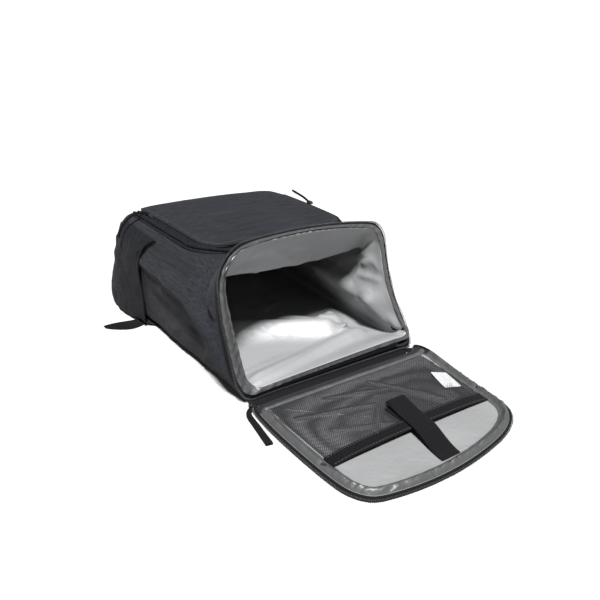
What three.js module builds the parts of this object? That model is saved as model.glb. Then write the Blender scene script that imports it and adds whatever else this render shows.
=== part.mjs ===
// Insulated backpack lying on its shoulder straps, with its zipped lid opened flat in front of it.
// Millimetres, +Z up. X runs along the lid's hinge, +Y from the hinge to the bag's base.
// The origin is the middle of the hinge band's underside, on the surface that the bag lies on.
import * as THREE from "three";

// Driving sizes of the body
const WIDTH = 300;
const LENGTH = 420;
const DEPTH = 200;
const WALL = 5;
const LINER = 1.2;
const GAP = 0.3;
const FLOOR_EDGE = 3;

// Mouth: zip tape round the outside of the rim, silver hem facing out of the opening
const MOUTH_TAPE_WIDE = 9;
const MOUTH_TAPE_THICK = 2;
const HEM_THICK = 1;
const HEM_EDGE = 0.8;

// Front pocket, on the side that faces up: its panel's distances from the body's sides and ends
const POCKET_FROM_LEFT = 25;
const POCKET_FROM_RIGHT = 17;
const POCKET_FROM_HINGE = 145;
const POCKET_FROM_BASE = 16;
const POCKET_RISE = 9;
const POCKET_CROWN = 6;
const POCKET_CORNER = 36;
const POCKET_CLOTH = 2;
const GUSSET_REACH = 19;
const GUSSET_REACH_RIGHT = 7;
const GUSSET_SEAT = 0.7;
const GUSSET_PUFF = 5;
const GUSSET_CLOTH = 1.6;
const POCKET_TAPE_WIDE = 9;
const POCKET_TAPE_THICK = 1.2;
const POCKET_TAPE_DROP = 4;

// Zip sliders and their pulls
const SLIDER_LONG = 13;
const SLIDER_WIDE = 8;
const SLIDER_HIGH = 5;
const PULL_ROUND = 4;
const SLIDER_LEFT_AT = 0.533;
const SLIDER_RIGHT_AT = 0.0515;
const ZIP_END_WIDE = 9;
const ZIP_END_THICK = 2;
const ZIP_END_LOW = 0.8;
const MOUTH_SLIDER_BACK = 1.3;
const MOUTH_SLIDER_TURN = -0.5;
const TAB_LONG = 88;
const TAB_WIDE = 9;
const TAB_THICK = 3.5;
const HINGE_TAB = { wide: 9, long: 7, high: 6 };

// Side pockets of plain cloth near the base
const SIDE_CLOTH = 1.6;
const SIDE_PUFF = 13;
const SIDE_MOUTH = 8;
const SIDE_BINDING = 6;
const BINDING_THICK = 2.4;
const SIDE_TUCK = 0.4;
const SIDE_SEAT = 0.9;
const SIDE_END = 0.99;

// Hinge band and lid
const HINGE_MARGIN = 15;
const HINGE_UNDER = 9;
const HINGE_THICK = 1.8;
const HINGE_CLEAR = 1;
const HINGE_LAP = 1.5;
const LID_OVERHANG = 8;
const LID_EXTRA = 62;
const LID_FAR = 0.056;
const LID_FOAM = 5;
const LID_BAND = 11;
const RIM_FOOT = 1.15;
const LID_RISE = 8;
const LID_LINER = 1.2;
const LID_TAPE = 3.2;
const LID_TAPE_LOW = 2;
const LID_TAPE_HIGH = 6;
const LID_TURN_UP = 3;
const LID_MIDDLE = { x: -4, y: -150 };

// Pieces sewn to the inside of the lid
const MESH_LINE = 172;
const MESH_THICK = 0.8;
const MESH_LIFT = 7;
const MESH_SEAT = 0.8;
const MESH_HEM_WIDE = 20;
const MESH_HEM_THICK = 1.6;
const STRAP_WIDE = 32;
const STRAP_THICK = 1.8;
const STRAP_PAST = 47;
const STRAP_INSET = 3;
const STRAP_SLANT = 14;
const STRAP_SHIFT = -9;
const TIP_FOLD = 18;
const PATCH_WIDE = 34;
const PATCH_LONG = 32;
const PATCH_THICK = 1.6;
const LABEL_WIDE = 26;
const LABEL_LONG = 42;
const LABEL_THICK = 0.6;
const LABEL_FROM_EDGE = 21.5;
const LABEL_FROM_HINGE = 115;
const LABEL_TURN = -0.28;
const LABEL_CURL = 4;

// Shoulder straps pressed flat under the back panel
const PAD_WIDE = 62;
const PAD_THICK = 7;
const WEBBING_WIDE = 25;
const WEBBING_THICK = 1.6;
const BUCKLE_WIDE = 34;
const BUCKLE_LONG = 26;
const BUCKLE_THICK = 4.5;

const HALF = WIDTH / 2;
const POCKET_WIDE = WIDTH - POCKET_FROM_LEFT - POCKET_FROM_RIGHT;
const POCKET_LONG = LENGTH - POCKET_FROM_HINGE - POCKET_FROM_BASE;
const POCKET_SHIFT = (POCKET_FROM_LEFT - POCKET_FROM_RIGHT) / 2;
const POCKET_MIDDLE = POCKET_FROM_HINGE + POCKET_LONG / 2;
const HINGE_WIDE = WIDTH - 2 * HINGE_MARGIN;
const LID_WIDE = WIDTH + 2 * LID_OVERHANG;
const LID_LONG = DEPTH + LID_EXTRA;
const LID_HALF = LID_WIDE / 2;
const HINGE_LONG = LID_FAR * LID_LONG + LID_TAPE + HINGE_LAP;
const STRAP_ROOT = LID_LONG - LID_TAPE - RIM_FOOT * LID_BAND - STRAP_INSET;
const STRAP_LONG = STRAP_ROOT - MESH_LINE + STRAP_PAST;
const LINER_INSET = WALL + GAP + LINER;
const UNDERSIDE = PAD_THICK + 2 * GAP;
const SIDE_LOW = WEBBING_THICK + 6 * GAP;
const LID_FLOOR = LID_FOAM + GAP + LID_LINER;
const FORWARD = new THREE.Vector3(0, -0.97, 0.24).normalize();

// Sections of the body from the rim to the base. Each row holds shares:
// back and front are the distances from the hinge along the back panel and the front, of LENGTH,
// skew moves the front's right corner back, of LENGTH; low, mid and high are the side walls'
// distances from the middle, of WIDTH / 2; top is the front's height, of DEPTH; round is each
// corner's radius, of DEPTH; fill shrinks the closing rows of the base towards its centre.
const SECTION_COLUMNS = [
  "at", "back", "front", "skew", "lowL", "midL", "highL", "lowR", "midR", "highR",
  "topL", "topM", "topR", "roundLow", "roundL", "roundR", "fill",
];
const SECTIONS = table(SECTION_COLUMNS, [
  [0.00, 0.000, 0.119, 0.017, 0.97, 1.13, 1.10, 1.04, 0.92, 0.84, 1.04, 1.07, 0.97, 0.07, 0.22, 0.12, 1],
  [0.06, 0.062, 0.165, 0.014, 0.98, 1.13, 1.06, 1.02, 0.90, 0.88, 0.94, 0.92, 0.88, 0.07, 0.17, 0.12, 1],
  [0.13, 0.130, 0.215, 0.004, 0.99, 1.12, 1.00, 1.01, 0.87, 0.92, 0.815, 0.755, 0.79, 0.07, 0.10, 0.10, 1],
  [0.26, 0.260, 0.310, 0.000, 1.00, 1.11, 1.02, 1.01, 0.86, 0.96, 0.83, 0.82, 0.82, 0.08, 0.05, 0.05, 1],
  [0.43, 0.430, 0.450, 0.000, 1.02, 1.11, 1.03, 1.01, 0.88, 0.98, 0.825, 0.835, 0.82, 0.09, 0.05, 0.05, 1],
  [0.62, 0.620, 0.620, 0.000, 1.03, 1.08, 1.03, 1.02, 0.95, 0.99, 0.82, 0.835, 0.82, 0.09, 0.05, 0.05, 1],
  [0.81, 0.810, 0.800, 0.000, 1.06, 1.06, 1.02, 1.02, 1.01, 0.99, 0.815, 0.835, 0.81, 0.09, 0.06, 0.06, 1],
  [0.94, 0.955, 0.920, 0.000, 1.11, 1.07, 0.99, 1.02, 1.02, 0.96, 0.805, 0.825, 0.79, 0.10, 0.08, 0.08, 1],
  [1.00, 1.014, 0.968, 0.000, 1.10, 1.05, 0.94, 1.00, 0.99, 0.90, 0.76, 0.78, 0.74, 0.13, 0.13, 0.13, 1],
  [1.03, 1.031, 0.984, 0.000, 1.06, 1.01, 0.89, 0.97, 0.95, 0.86, 0.71, 0.74, 0.71, 0.15, 0.18, 0.18, 0.88],
  [1.06, 1.037, 0.993, 0.000, 1.06, 1.01, 0.89, 0.97, 0.95, 0.86, 0.71, 0.74, 0.71, 0.15, 0.18, 0.18, 0.5],
  [1.09, 1.039, 0.995, 0.000, 1.06, 1.01, 0.89, 0.97, 0.95, 0.86, 0.71, 0.74, 0.71, 0.15, 0.18, 0.18, 0],
]);
const BASE_AT = 0.94;

// Creases of the side walls, seen from the side: start and end as shares of LENGTH and DEPTH,
// rise (outwards) and spread as shares of DEPTH.
const CREASE_COLUMNS = ["side", "y0", "z0", "y1", "z1", "rise", "spread"];
const CREASES = table(CREASE_COLUMNS, [
  [-1, 0.74, 0.56, 0.26, 0.58, 0.030, 0.26],
  [-1, 0.26, 0.58, 0.03, 0.14, 0.034, 0.20],
  [-1, 0.24, 0.80, 0.17, 0.60, -0.028, 0.14],
  [1, 0.66, 0.36, 0.12, 0.36, -0.085, 0.26],
  [1, 0.13, 0.36, 0.08, 0.20, -0.045, 0.13],
  [1, 0.18, 0.66, 0.06, 0.62, -0.045, 0.40],
]);

// Folds of the liner's floor, seen from above: ends as shares of WIDTH and LENGTH,
// rise and spread as shares of DEPTH.
const FOLD_COLUMNS = ["x0", "y0", "x1", "y1", "rise", "spread"];
const FLOOR_FOLDS = table(FOLD_COLUMNS, [
  [-0.45, 0.05, 0.30, 0.15, 0.050, 0.13],
  [-0.24, 0.40, 0.20, 0.22, 0.115, 0.20],
  [0.20, 0.22, 0.30, 0.30, 0.080, 0.15],
]);

// Steps round a section: floor, right side, front and left side, with a corner after each
const STEPS = { side: 6, flat: 7, corner: 3 };
const STEP_ROUND = 2 * (STEPS.side + STEPS.flat) + 4 * STEPS.corner;
const STEP_RIGHT = STEPS.flat + STEPS.corner;
const STEP_TOP = STEP_RIGHT + STEPS.side + STEPS.corner;
const STEP_LEFT = STEP_TOP + STEPS.flat + STEPS.corner;

// Stations along the body where its mesh has a row
const STATIONS = [
  0, 0.03, 0.07, 0.11, 0.15, 0.2, 0.27, 0.36, 0.46, 0.57, 0.68, 0.78, 0.87, 0.94, 1, 1.03, 1.06, 1.09,
];

// Widths of the hem round the mouth, of WIDTH, by steps round the rim as shares of the round
const HEM_COLUMNS = ["at", "wide"];
const HEM = table(HEM_COLUMNS, [
  [0, 0.022], [0.09, 0.016], [0.2, 0.022], [0.3, 0.026], [0.45, 0.022], [0.5, 0.016],
  [0.68, 0.016], [0.74, 0.036], [0.8, 0.056], [0.9, 0.056], [0.96, 0.040], [1, 0.022],
]);

// Outline of the lid, as shares of LID_WIDE / 2 and LID_LONG, from the hinge's left end round
const LID_COLUMNS = ["x", "y"];
const LID_OUTLINE = table(LID_COLUMNS, [
  [-0.90, 0.062], [-0.975, 0.12], [-1.005, 0.30], [-1.01, 0.55], [-0.995, 0.78], [-0.955, 0.875],
  [-0.87, 0.945], [-0.72, 0.975], [-0.45, 1.0], [-0.12, 1.005], [0.20, 0.985], [0.52, 0.945],
  [0.74, 0.885], [0.86, 0.815], [0.915, 0.72], [0.945, 0.52], [1.01, 0.28], [1.06, 0.11],
  [1.02, 0.03], [0.955, 0.032], [0.87, LID_FAR], [0.45, LID_FAR], [0, LID_FAR], [-0.45, LID_FAR],
]);

// Lines of the pocket's gusset: out is the share of its reach beyond the zip, under is 1 below
// the panel, head is the share of the height, puff the share of GUSSET_PUFF
const GUSSET_COLUMNS = ["out", "under", "head", "puff"];
const GUSSET_LINES = table(GUSSET_COLUMNS, [[1, 0, 0, 0], [0.6, 0, 0.3, 1], [0, 0, 1, 0], [0, 1, 1, 0]]);

// Rings of the pocket panel's mesh, from its edge to its middle
const PANEL_RINGS = [1, 0.92, 0.66, 0.33, 0];

// Where the pocket's gusset and its zip begin and end, in turns round the pocket's outline
const GUSSET_SWEEP = { start: 0.49, end: 1.13 };
const ZIP_SWEEP = { start: 0.5, end: 1.1 };

// Opening of a side pocket: at is its distance from the mouth along the body, as in SECTIONS
const SIDE_COLUMNS = ["down", "at"];
const SIDE_EDGE = table(SIDE_COLUMNS, [
  [0, 0.60], [0.12, 0.675], [0.3, 0.70], [0.5, 0.68], [0.7, 0.69], [0.85, 0.68], [1, 0.63],
]);

// Raised rim of the lid from its edge inwards: inset of LID_BAND, height of LID_RISE
const RIM_COLUMNS = ["inset", "rise"];
const LID_RIM = table(RIM_COLUMNS, [
  [0, 0.15], [0.3, 0.8], [0.6, 1], [0.9, 0.45], [RIM_FOOT, 0], [2 * RIM_FOOT, 0], [3 * RIM_FOOT, 0],
]);

// Left and right edges of the mesh pocket, of LID_WIDE / 2, by distance from the hinge, of LID_LONG
const MESH_COLUMNS = ["down", "left", "right"];
const MESH_EDGES = table(MESH_COLUMNS, [[0.14, -0.865, 0.90], [0.4, -0.905, 0.865], [0.66, -0.895, 0.81]]);

// Closure strap from its root to its tip: height of its underside over the lid, of MESH_LIFT
const STRAP_COLUMNS = ["along", "high"];
const STRAP_RISE = table(STRAP_COLUMNS, [
  [0, -0.07], [0.12, 0], [0.25, 0.6], [0.45, 1.62], [0.72, 1.68], [1, 1.95],
]);

// Centre line of the right shoulder strap, as shares of WIDTH and LENGTH, and its width
const PAD_COLUMNS = ["x", "y", "wide"];
const PAD = table(PAD_COLUMNS, [
  [0.17, 0.10, 0.9], [0.18, 0.22, 1], [0.21, 0.36, 1.05],
  [0.25, 0.50, 1], [0.29, 0.62, 0.85], [0.31, 0.69, 0.6],
]);

// Corners of a shoulder strap's section, of its width and PAD_THICK
const PAD_SECTION = table(["wide", "high"], [
  [-0.46, 0], [0.46, 0], [0.5, 0.4], [0.44, 1], [-0.44, 1], [-0.5, 0.4],
]);

// Where a strap's webbing is sewn in at the base, as shares of WIDTH and LENGTH
const WEBBING_END = { x: 0.37, y: 0.955 };

// Loose tail of the left strap: its middle line as shares of WIDTH and LENGTH, turn in radians, width
const TAIL_COLUMNS = ["x", "y", "turn", "wide"];
const TAIL = table(TAIL_COLUMNS, [
  [-0.385, 0.740, 0, 1], [-0.47, 0.742, 0, 1], [-0.54, 0.734, 0, 1], [-0.60, 0.716, 0.1, 1],
  [-0.65, 0.722, 0.35, 0.85], [-0.70, 0.745, 0.45, 0.6], [-0.735, 0.768, 0.4, 0.35],
]);

// Zip slider: scale of its section along it, of SLIDER_LONG, and the section's corners, of
// SLIDER_WIDE and SLIDER_HIGH
const SLIDER_ROWS = table(["along", "scale"], [[0, 0.6], [0.2, 1], [0.65, 1], [1, 0.55]]);
const SLIDER_SECTION = table(["wide", "high"], [
  [-0.5, 0], [0.5, 0], [0.5, 0.6], [0.3, 1], [-0.3, 1], [-0.5, 0.6],
]);

// Routes of the pocket's two zip pulls, chosen by hand
const PULL_LEFT = [
  [-131.1, 327.1, 176], [-136, 330, 178.3], [-143, 332, 179], [-149.5, 334.5, 177.6], [-156, 338, 174],
  [-163, 342, 167], [-169.5, 346, 157], [-173.5, 349, 147], [-175.5, 351, 137],
];
const PULL_RIGHT = [
  [139.1, 265.2, 176], [139.5, 276, 178.5], [140, 289, 180], [140.5, 302, 181], [141, 313, 182],
];

// Zip tape that turns round the hinge's left end, from the mouth to the lid: its middle line's
// distances outwards from the band and along +Y, of ZIP_END_WIDE
const END_COLUMNS = ["out", "y"];
const ZIP_END = table(END_COLUMNS, [[0.533, 0.333], [0.778, -0.444], [1.333, -1.278]]);

// Webbing tab of the mouth's slider: its middle line from the slider, of TAB_LONG
const MOUTH_PULL = table(END_COLUMNS, [
  [0.052, -0.082], [0.131, -0.140], [0.182, -0.259], [0.210, -0.452], [0.267, -0.770], [0.301, -0.975],
]);

const CLOTH = { color: 0x3c3d43, roughness: 0.95, metalness: 0 };
const PLAIN = { color: 0x33343a, roughness: 0.92, metalness: 0 };
const SILVER = { color: 0xb5b9bb, roughness: 0.38, metalness: 0.3 };
const BLACK = { color: 0x141419, roughness: 0.85, metalness: 0 };
const NET = { color: 0x26272c, roughness: 0.9, metalness: 0 };
const METAL = { color: 0x1d1d21, roughness: 0.35, metalness: 0.6 };
const PLASTIC = { color: 0x17171b, roughness: 0.5, metalness: 0 };
const WHITE = { color: 0xe6e7e8, roughness: 0.8, metalness: 0 };

function table(columns, rows) {
  return rows.map((row) => Object.fromEntries(columns.map((name, i) => [name, row[i]])));
}

function mix(a, b, t) {
  return a + (b - a) * t;
}

function clamp(t, low = 0, high = 1) {
  return Math.min(high, Math.max(low, t));
}

function smooth(t) {
  const s = clamp(t);
  return s * s * (3 - 2 * s);
}

// Value of one column at t, on a curve through the rows without overshoot past their slopes
function read(rows, key, name, t) {
  const last = rows.length - 1;
  let i = 0;
  while (i < last - 1 && rows[i + 1][key] <= t) {
    i += 1;
  }
  const slope = (k) => {
    const a = rows[Math.max(0, k - 1)];
    const b = rows[Math.min(last, k + 1)];
    return (b[name] - a[name]) / (b[key] - a[key]);
  };
  const low = rows[i];
  const high = rows[i + 1];
  const span = high[key] - low[key];
  const s = clamp((t - low[key]) / span);
  const s2 = s * s;
  const s3 = s2 * s;
  return (2 * s3 - 3 * s2 + 1) * low[name] + (s3 - 2 * s2 + s) * span * slope(i)
    + (3 * s2 - 2 * s3) * high[name] + (s3 - s2) * span * slope(i + 1);
}

function through(a, b, c, t) {
  return a * (1 - t) * (1 - 2 * t) + b * 4 * t * (1 - t) + c * t * (2 * t - 1);
}

function ridge(u, v, u0, v0, u1, v1, spread) {
  const du = u1 - u0;
  const dv = v1 - v0;
  const t = clamp(((u - u0) * du + (v - v0) * dv) / (du * du + dv * dv));
  const away = Math.hypot(u - u0 - du * t, v - v0 - dv * t) / spread;
  return away >= 1 ? 0 : (1 - away) * (1 - away * away);
}

function underside(p) {
  return mix(UNDERSIDE, FLOOR_EDGE, Math.abs(clamp(p, -1, 1)) ** 10);
}

// A point of the body: p from -1 at the left wall to 1 at the right, q from 0 at the back
// panel to 1 at the front, at a station along it, moved inwards by inset.
function bodyPoint(p, q, at, inset) {
  const get = (name) => read(SECTIONS, "at", name, at);
  const fill = get("fill");
  const across = p * fill;
  const up = 0.5 + (q - 0.5) * fill;
  const left = -HALF * through(get("lowL"), get("midL"), get("highL"), up) + inset;
  const right = HALF * through(get("lowR"), get("midR"), get("highR"), up) - inset;
  const share = (across + 1) / 2;
  const top = DEPTH * through(get("topL"), get("topM"), get("topR"), share) - inset;
  let x = mix(left, right, share);
  const z = mix(underside(across) + inset, top, up);
  const closing = smooth((at - BASE_AT) / (1 - BASE_AT));
  const lean = LENGTH * (get("front") - get("back")) / top * inset * (1 - 2 * up);
  const along = mix(get("back"), get("front"), up) + get("skew") * across * up;
  const y = LENGTH * along + lean - inset * closing;
  for (const crease of CREASES) {
    const near = smooth((across * crease.side - 0.4) / 0.6);
    const depth = ridge(y, z, crease.y0 * LENGTH, crease.z0 * DEPTH, crease.y1 * LENGTH,
      crease.z1 * DEPTH, crease.spread * DEPTH);
    x += crease.side * near * depth * crease.rise * DEPTH;
  }
  return new THREE.Vector3(x, y, z);
}

// Where a number of steps round the section lies, in p and q
function sectionShare(step, at) {
  const get = (name) => read(SECTIONS, "at", name, at);
  const low = get("roundLow") * DEPTH;
  const corner = (p, q, radius, a) => {
    const rp = radius / HALF;
    const rq = radius / DEPTH;
    const angle = a * Math.PI / 2;
    return [p * (1 - rp) + rp * Math.cos(angle), mix(rq, 1 - rq, q) + rq * Math.sin(angle)];
  };
  const { side, flat, corner: bend } = STEPS;
  const right = get("roundR") * DEPTH;
  const left = get("roundL") * DEPTH;
  let s = ((step % STEP_ROUND) + STEP_ROUND) % STEP_ROUND;
  if (s < flat) return [mix(low / HALF - 1, 1 - low / HALF, s / flat), 0];
  s -= flat;
  if (s < bend) return corner(1, 0, low, s / bend - 1);
  s -= bend;
  if (s < side) return [1, mix(low / DEPTH, 1 - right / DEPTH, s / side)];
  s -= side;
  if (s < bend) return corner(1, 1, right, s / bend);
  s -= bend;
  if (s < flat) return [mix(1 - right / HALF, left / HALF - 1, s / flat), 1];
  s -= flat;
  if (s < bend) return corner(-1, 1, left, 1 + s / bend);
  s -= bend;
  if (s < side) return [-1, mix(1 - left / DEPTH, low / DEPTH, s / side)];
  s -= side;
  return corner(-1, 0, low, 2 + s / bend);
}

function wallPoint(step, at, inset) {
  const [p, q] = sectionShare(step, at);
  return bodyPoint(p, q, at, inset);
}

// Height of the front's outer facets above a place, for what is sewn on it
const FRONT_FACES = [];

function frontHeight(x, y) {
  if (FRONT_FACES.length === 0) {
    for (let j = 1; j < STATIONS.length; j += 1) {
      for (let i = STEP_TOP - STEPS.corner; i < STEP_LEFT; i += 1) {
        const corner = (di, dj) => wallPoint(i + di, STATIONS[j - 1 + dj], 0);
        FRONT_FACES.push([corner(0, 0), corner(1, 0), corner(1, 1)]);
        FRONT_FACES.push([corner(0, 0), corner(1, 1), corner(0, 1)]);
      }
    }
  }
  let height = 0;
  for (const [a, b, c] of FRONT_FACES) {
    const area = (b.x - a.x) * (c.y - a.y) - (c.x - a.x) * (b.y - a.y);
    const v = ((x - a.x) * (c.y - a.y) - (c.x - a.x) * (y - a.y)) / area;
    const w = ((b.x - a.x) * (y - a.y) - (x - a.x) * (b.y - a.y)) / area;
    if (v >= 0 && w >= 0 && v + w <= 1) height = Math.max(height, a.z + v * (b.z - a.z) + w * (c.z - a.z));
  }
  return height;
}

// A closed body between two sheets of the same grid. wraps closes it round in u;
// pole ends each sheet in one point at the last v.
function between(front, back, nu, nv, { wraps = false, pole = false } = {}) {
  const across = wraps ? nu : nu + 1;
  const rows = pole ? nv : nv + 1;
  const positions = [];
  const layer = (sheet) => {
    const start = positions.length / 3;
    for (let j = 0; j < rows; j += 1) {
      for (let i = 0; i < across; i += 1) {
        const point = sheet(i, j);
        positions.push(point.x, point.y, point.z);
      }
    }
    if (pole) {
      const point = sheet(0, nv);
      positions.push(point.x, point.y, point.z);
    }
    return (i, j) => (pole && j === nv ? start + rows * across : start + j * across + (i % across));
  };
  const a = layer(front);
  const b = layer(back);
  const faces = [];
  const quad = (p0, p1, p2, p3) => {
    faces.push(p0, p1, p2);
    faces.push(p0, p2, p3);
  };
  for (let j = 0; j < nv; j += 1) {
    for (let i = 0; i < nu; i += 1) {
      if (pole && j === nv - 1) {
        faces.push(a(i, j), a(i + 1, j), a(i, nv));
        faces.push(b(i + 1, j), b(i, j), b(i, nv));
      } else {
        quad(a(i, j), a(i + 1, j), a(i + 1, j + 1), a(i, j + 1));
        quad(b(i, j), b(i, j + 1), b(i + 1, j + 1), b(i + 1, j));
      }
    }
  }
  for (let i = 0; i < nu; i += 1) {
    quad(a(i + 1, 0), a(i, 0), b(i, 0), b(i + 1, 0));
    if (!pole) quad(a(i, nv), a(i + 1, nv), b(i + 1, nv), b(i, nv));
  }
  if (!wraps) {
    for (let j = 0; j < nv; j += 1) {
      quad(a(0, j), a(0, j + 1), b(0, j + 1), b(0, j));
      quad(a(nu, j + 1), a(nu, j), b(nu, j), b(nu, j + 1));
    }
  }
  return solid(positions, faces);
}

// A closed section carried along a path: place(i, k) is corner k of the section at row i
function swept(place, count, corners, closed = false) {
  const positions = [];
  const rows = closed ? count : count + 1;
  for (let i = 0; i < rows; i += 1) {
    for (let k = 0; k < corners; k += 1) {
      const point = place(i, k);
      positions.push(point.x, point.y, point.z);
    }
  }
  const id = (i, k) => (i % rows) * corners + (k % corners);
  const faces = [];
  for (let i = 0; i < count; i += 1) {
    for (let k = 0; k < corners; k += 1) {
      faces.push(id(i, k), id(i + 1, k), id(i + 1, k + 1));
      faces.push(id(i, k), id(i + 1, k + 1), id(i, k + 1));
    }
  }
  if (!closed) {
    for (let k = 1; k < corners - 1; k += 1) {
      faces.push(id(0, 0), id(0, k), id(0, k + 1));
      faces.push(id(count, 0), id(count, k + 1), id(count, k));
    }
  }
  return solid(positions, faces);
}

// Turns the faces outwards and splits each face's corners for a BufferGeometry
function solid(positions, faces) {
  const corner = (id) => new THREE.Vector3(positions[3 * id], positions[3 * id + 1], positions[3 * id + 2]);
  let volume = 0;
  for (let f = 0; f < faces.length; f += 3) {
    volume += corner(faces[f]).dot(corner(faces[f + 1]).cross(corner(faces[f + 2])));
  }
  const order = volume < 0 ? faces.slice().reverse() : faces;
  const geometry = new THREE.BufferGeometry();
  geometry.setAttribute("position", new THREE.Float32BufferAttribute(positions, 3));
  geometry.setIndex(order);
  geometry.computeVertexNormals();
  return geometry;
}

function vec(x, y, z) {
  return new THREE.Vector3(x, y, z);
}

const bag = new THREE.Group();

function add(name, geometry, look) {
  const mesh = new THREE.Mesh(geometry, new THREE.MeshStandardMaterial(look));
  mesh.name = name;
  bag.add(mesh);
}

// Body: outer cloth with its foam, and the silver liner inside it

function addShell() {
  const outer = (i, j) => wallPoint(i, STATIONS[j], 0);
  const inner = (i, j) => wallPoint(i, STATIONS[j], WALL);
  add("shell", between(outer, inner, STEP_ROUND, STATIONS.length - 1, { wraps: true, pole: true }), CLOTH);
}

function linerPoint(step, at, inset) {
  const point = wallPoint(step, at, inset);
  const [p, q] = sectionShare(step, at);
  const floor = smooth(1 - q / 0.2) * smooth((1 - Math.abs(p)) / 0.2) * smooth(at / 0.05);
  let lift = 0;
  for (const fold of FLOOR_FOLDS) {
    const height = ridge(point.x, point.y, fold.x0 * WIDTH, fold.y0 * LENGTH, fold.x1 * WIDTH,
      fold.y1 * LENGTH, fold.spread * DEPTH);
    lift = Math.max(lift, height * fold.rise * DEPTH);
  }
  point.z += lift * floor;
  return point;
}

function addLiner() {
  const outer = (i, j) => linerPoint(i, STATIONS[j], WALL + GAP);
  const inner = (i, j) => linerPoint(i, STATIONS[j], LINER_INSET);
  add("liner", between(outer, inner, STEP_ROUND, STATIONS.length - 1, { wraps: true, pole: true }), SILVER);
}

// A point off the faceted outer face near the rim: distance back from it, and away from the face
function collarPoint(step, distance, away) {
  const front = wallPoint(step, STATIONS[0], 0);
  const wall = wallPoint(step, STATIONS[1], 0).sub(front).normalize();
  const along = wallPoint(step + 0.5, 0, 0).sub(wallPoint(step - 0.5, 0, 0));
  const normal = wall.clone().cross(along).normalize();
  return front.addScaledVector(wall, distance).addScaledVector(normal, away);
}

function addMouthTape() {
  const front = GAP + HEM_THICK;
  const back = MOUTH_TAPE_WIDE - front;
  const inside = 3 * GAP;
  const outside = GAP + MOUTH_TAPE_THICK;
  const corners = [[back, inside], [back, outside], [-front, outside], [-front, inside]];
  const place = (i, k) => collarPoint(i, ...corners[k]);
  add("mouth_tape", swept(place, STEP_ROUND, corners.length, true), BLACK);
}

function addMouthHem() {
  const place = (i, k) => {
    const wide = read(HEM, "at", "wide", i / STEP_ROUND) * WIDTH;
    const edge = wallPoint(i, 0, k === 0 || k === 3 ? HEM_EDGE : wide);
    return edge.addScaledVector(FORWARD, k < 2 ? GAP + HEM_THICK : GAP);
  };
  add("mouth_hem", swept(place, STEP_ROUND, 4, true), SILVER);
}

// Front pocket: a crowned panel over a cloth gusset that slopes down to the body's front

// Outline of the pocket, grown by a distance, in eight equal stretches: sides and corners in turn
function pocketOutline(turn, grow) {
  const k = Math.floor((turn % 1) * 8);
  const s = (turn % 1) * 8 - k;
  const radius = POCKET_CORNER + grow;
  const hw = POCKET_WIDE / 2 - POCKET_CORNER;
  const hl = POCKET_LONG / 2 - POCKET_CORNER;
  const quarter = Math.floor(k / 2);
  const signs = [[1, 1], [-1, 1], [-1, -1], [1, -1]][quarter];
  const before = [[1, -1], [1, 1], [-1, 1], [-1, -1]][quarter];
  const angle = (quarter + (k % 2 ? s : 0)) * Math.PI / 2;
  const share = k % 2 ? 1 : s;
  const cx = mix(before[0], signs[0], share) * hw;
  const cy = mix(before[1], signs[1], share) * hl;
  return [POCKET_SHIFT + cx + radius * Math.cos(angle), POCKET_MIDDLE + cy + radius * Math.sin(angle)];
}

function pocketHeight(x, y) {
  const u = clamp((x - POCKET_SHIFT) / (POCKET_WIDE / 2), -1, 1);
  const v = clamp((y - POCKET_MIDDLE) / (POCKET_LONG / 2), -1, 1);
  const far = Math.max(0, v) ** 4;
  const near = Math.max(0, -v) ** 4;
  const crown = (1 - u ** 4) * (1 - v ** 4);
  return frontHeight(x, y) + POCKET_RISE * (1 - 0.5 * far - 0.2 * near) + POCKET_CROWN * crown;
}

function addPocketPanel() {
  const rounds = 32;
  const place = (i, j, lift) => {
    const [ex, ey] = pocketOutline(i / rounds, 0);
    const share = PANEL_RINGS[j];
    const x = mix(POCKET_SHIFT, ex, share);
    const y = mix(POCKET_MIDDLE, ey, share);
    return vec(x, y, pocketHeight(x, y) + lift);
  };
  const top = (i, j) => place(i, j, 0);
  const under = (i, j) => place(i, j, -POCKET_CLOTH);
  const shape = { wraps: true, pole: true };
  add("pocket_panel", between(top, under, rounds, PANEL_RINGS.length - 1, shape), CLOTH);
}

// Height of the panel's top face at its edge
function pocketEdge(turn) {
  return pocketHeight(...pocketOutline(turn, 0));
}

// The gusset at one of its lines, from its foot on the body to under the panel's edge
function gussetPoint(turn, line, lift) {
  const right = smooth((Math.cos(turn * 2 * Math.PI) + 0.3) / 0.6);
  const far = Math.max(0, Math.sin(turn * 2 * Math.PI));
  const reach = mix(GUSSET_REACH, GUSSET_REACH_RIGHT, right);
  const zip = POCKET_TAPE_THICK + 5 * GAP;
  const edge = mix(reach, GUSSET_REACH_RIGHT * 0.6, far);
  const [fx, fy] = pocketOutline(turn, edge);
  const [x, y] = pocketOutline(turn, mix(mix(zip, edge, line.out), -POCKET_TAPE_WIDE / 2, line.under));
  const foot = frontHeight(fx, fy) + GUSSET_SEAT;
  const head = pocketEdge(turn) - POCKET_TAPE_DROP - GUSSET_SEAT - GUSSET_CLOTH;
  const puff = GUSSET_PUFF * line.puff * (1 - far) * mix(1, GUSSET_REACH_RIGHT / GUSSET_REACH, right);
  return vec(x, y, mix(foot, head, line.head) + puff + lift);
}

function addPocketGusset() {
  const rounds = 28;
  const count = GUSSET_LINES.length;
  const place = (i, k) => {
    const turn = mix(GUSSET_SWEEP.start, GUSSET_SWEEP.end, i / rounds);
    const under = k >= count;
    return gussetPoint(turn, GUSSET_LINES[under ? 2 * count - 1 - k : k], under ? 0 : GUSSET_CLOTH);
  };
  add("pocket_gusset", swept(place, rounds, 2 * count), PLAIN);
}

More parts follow.
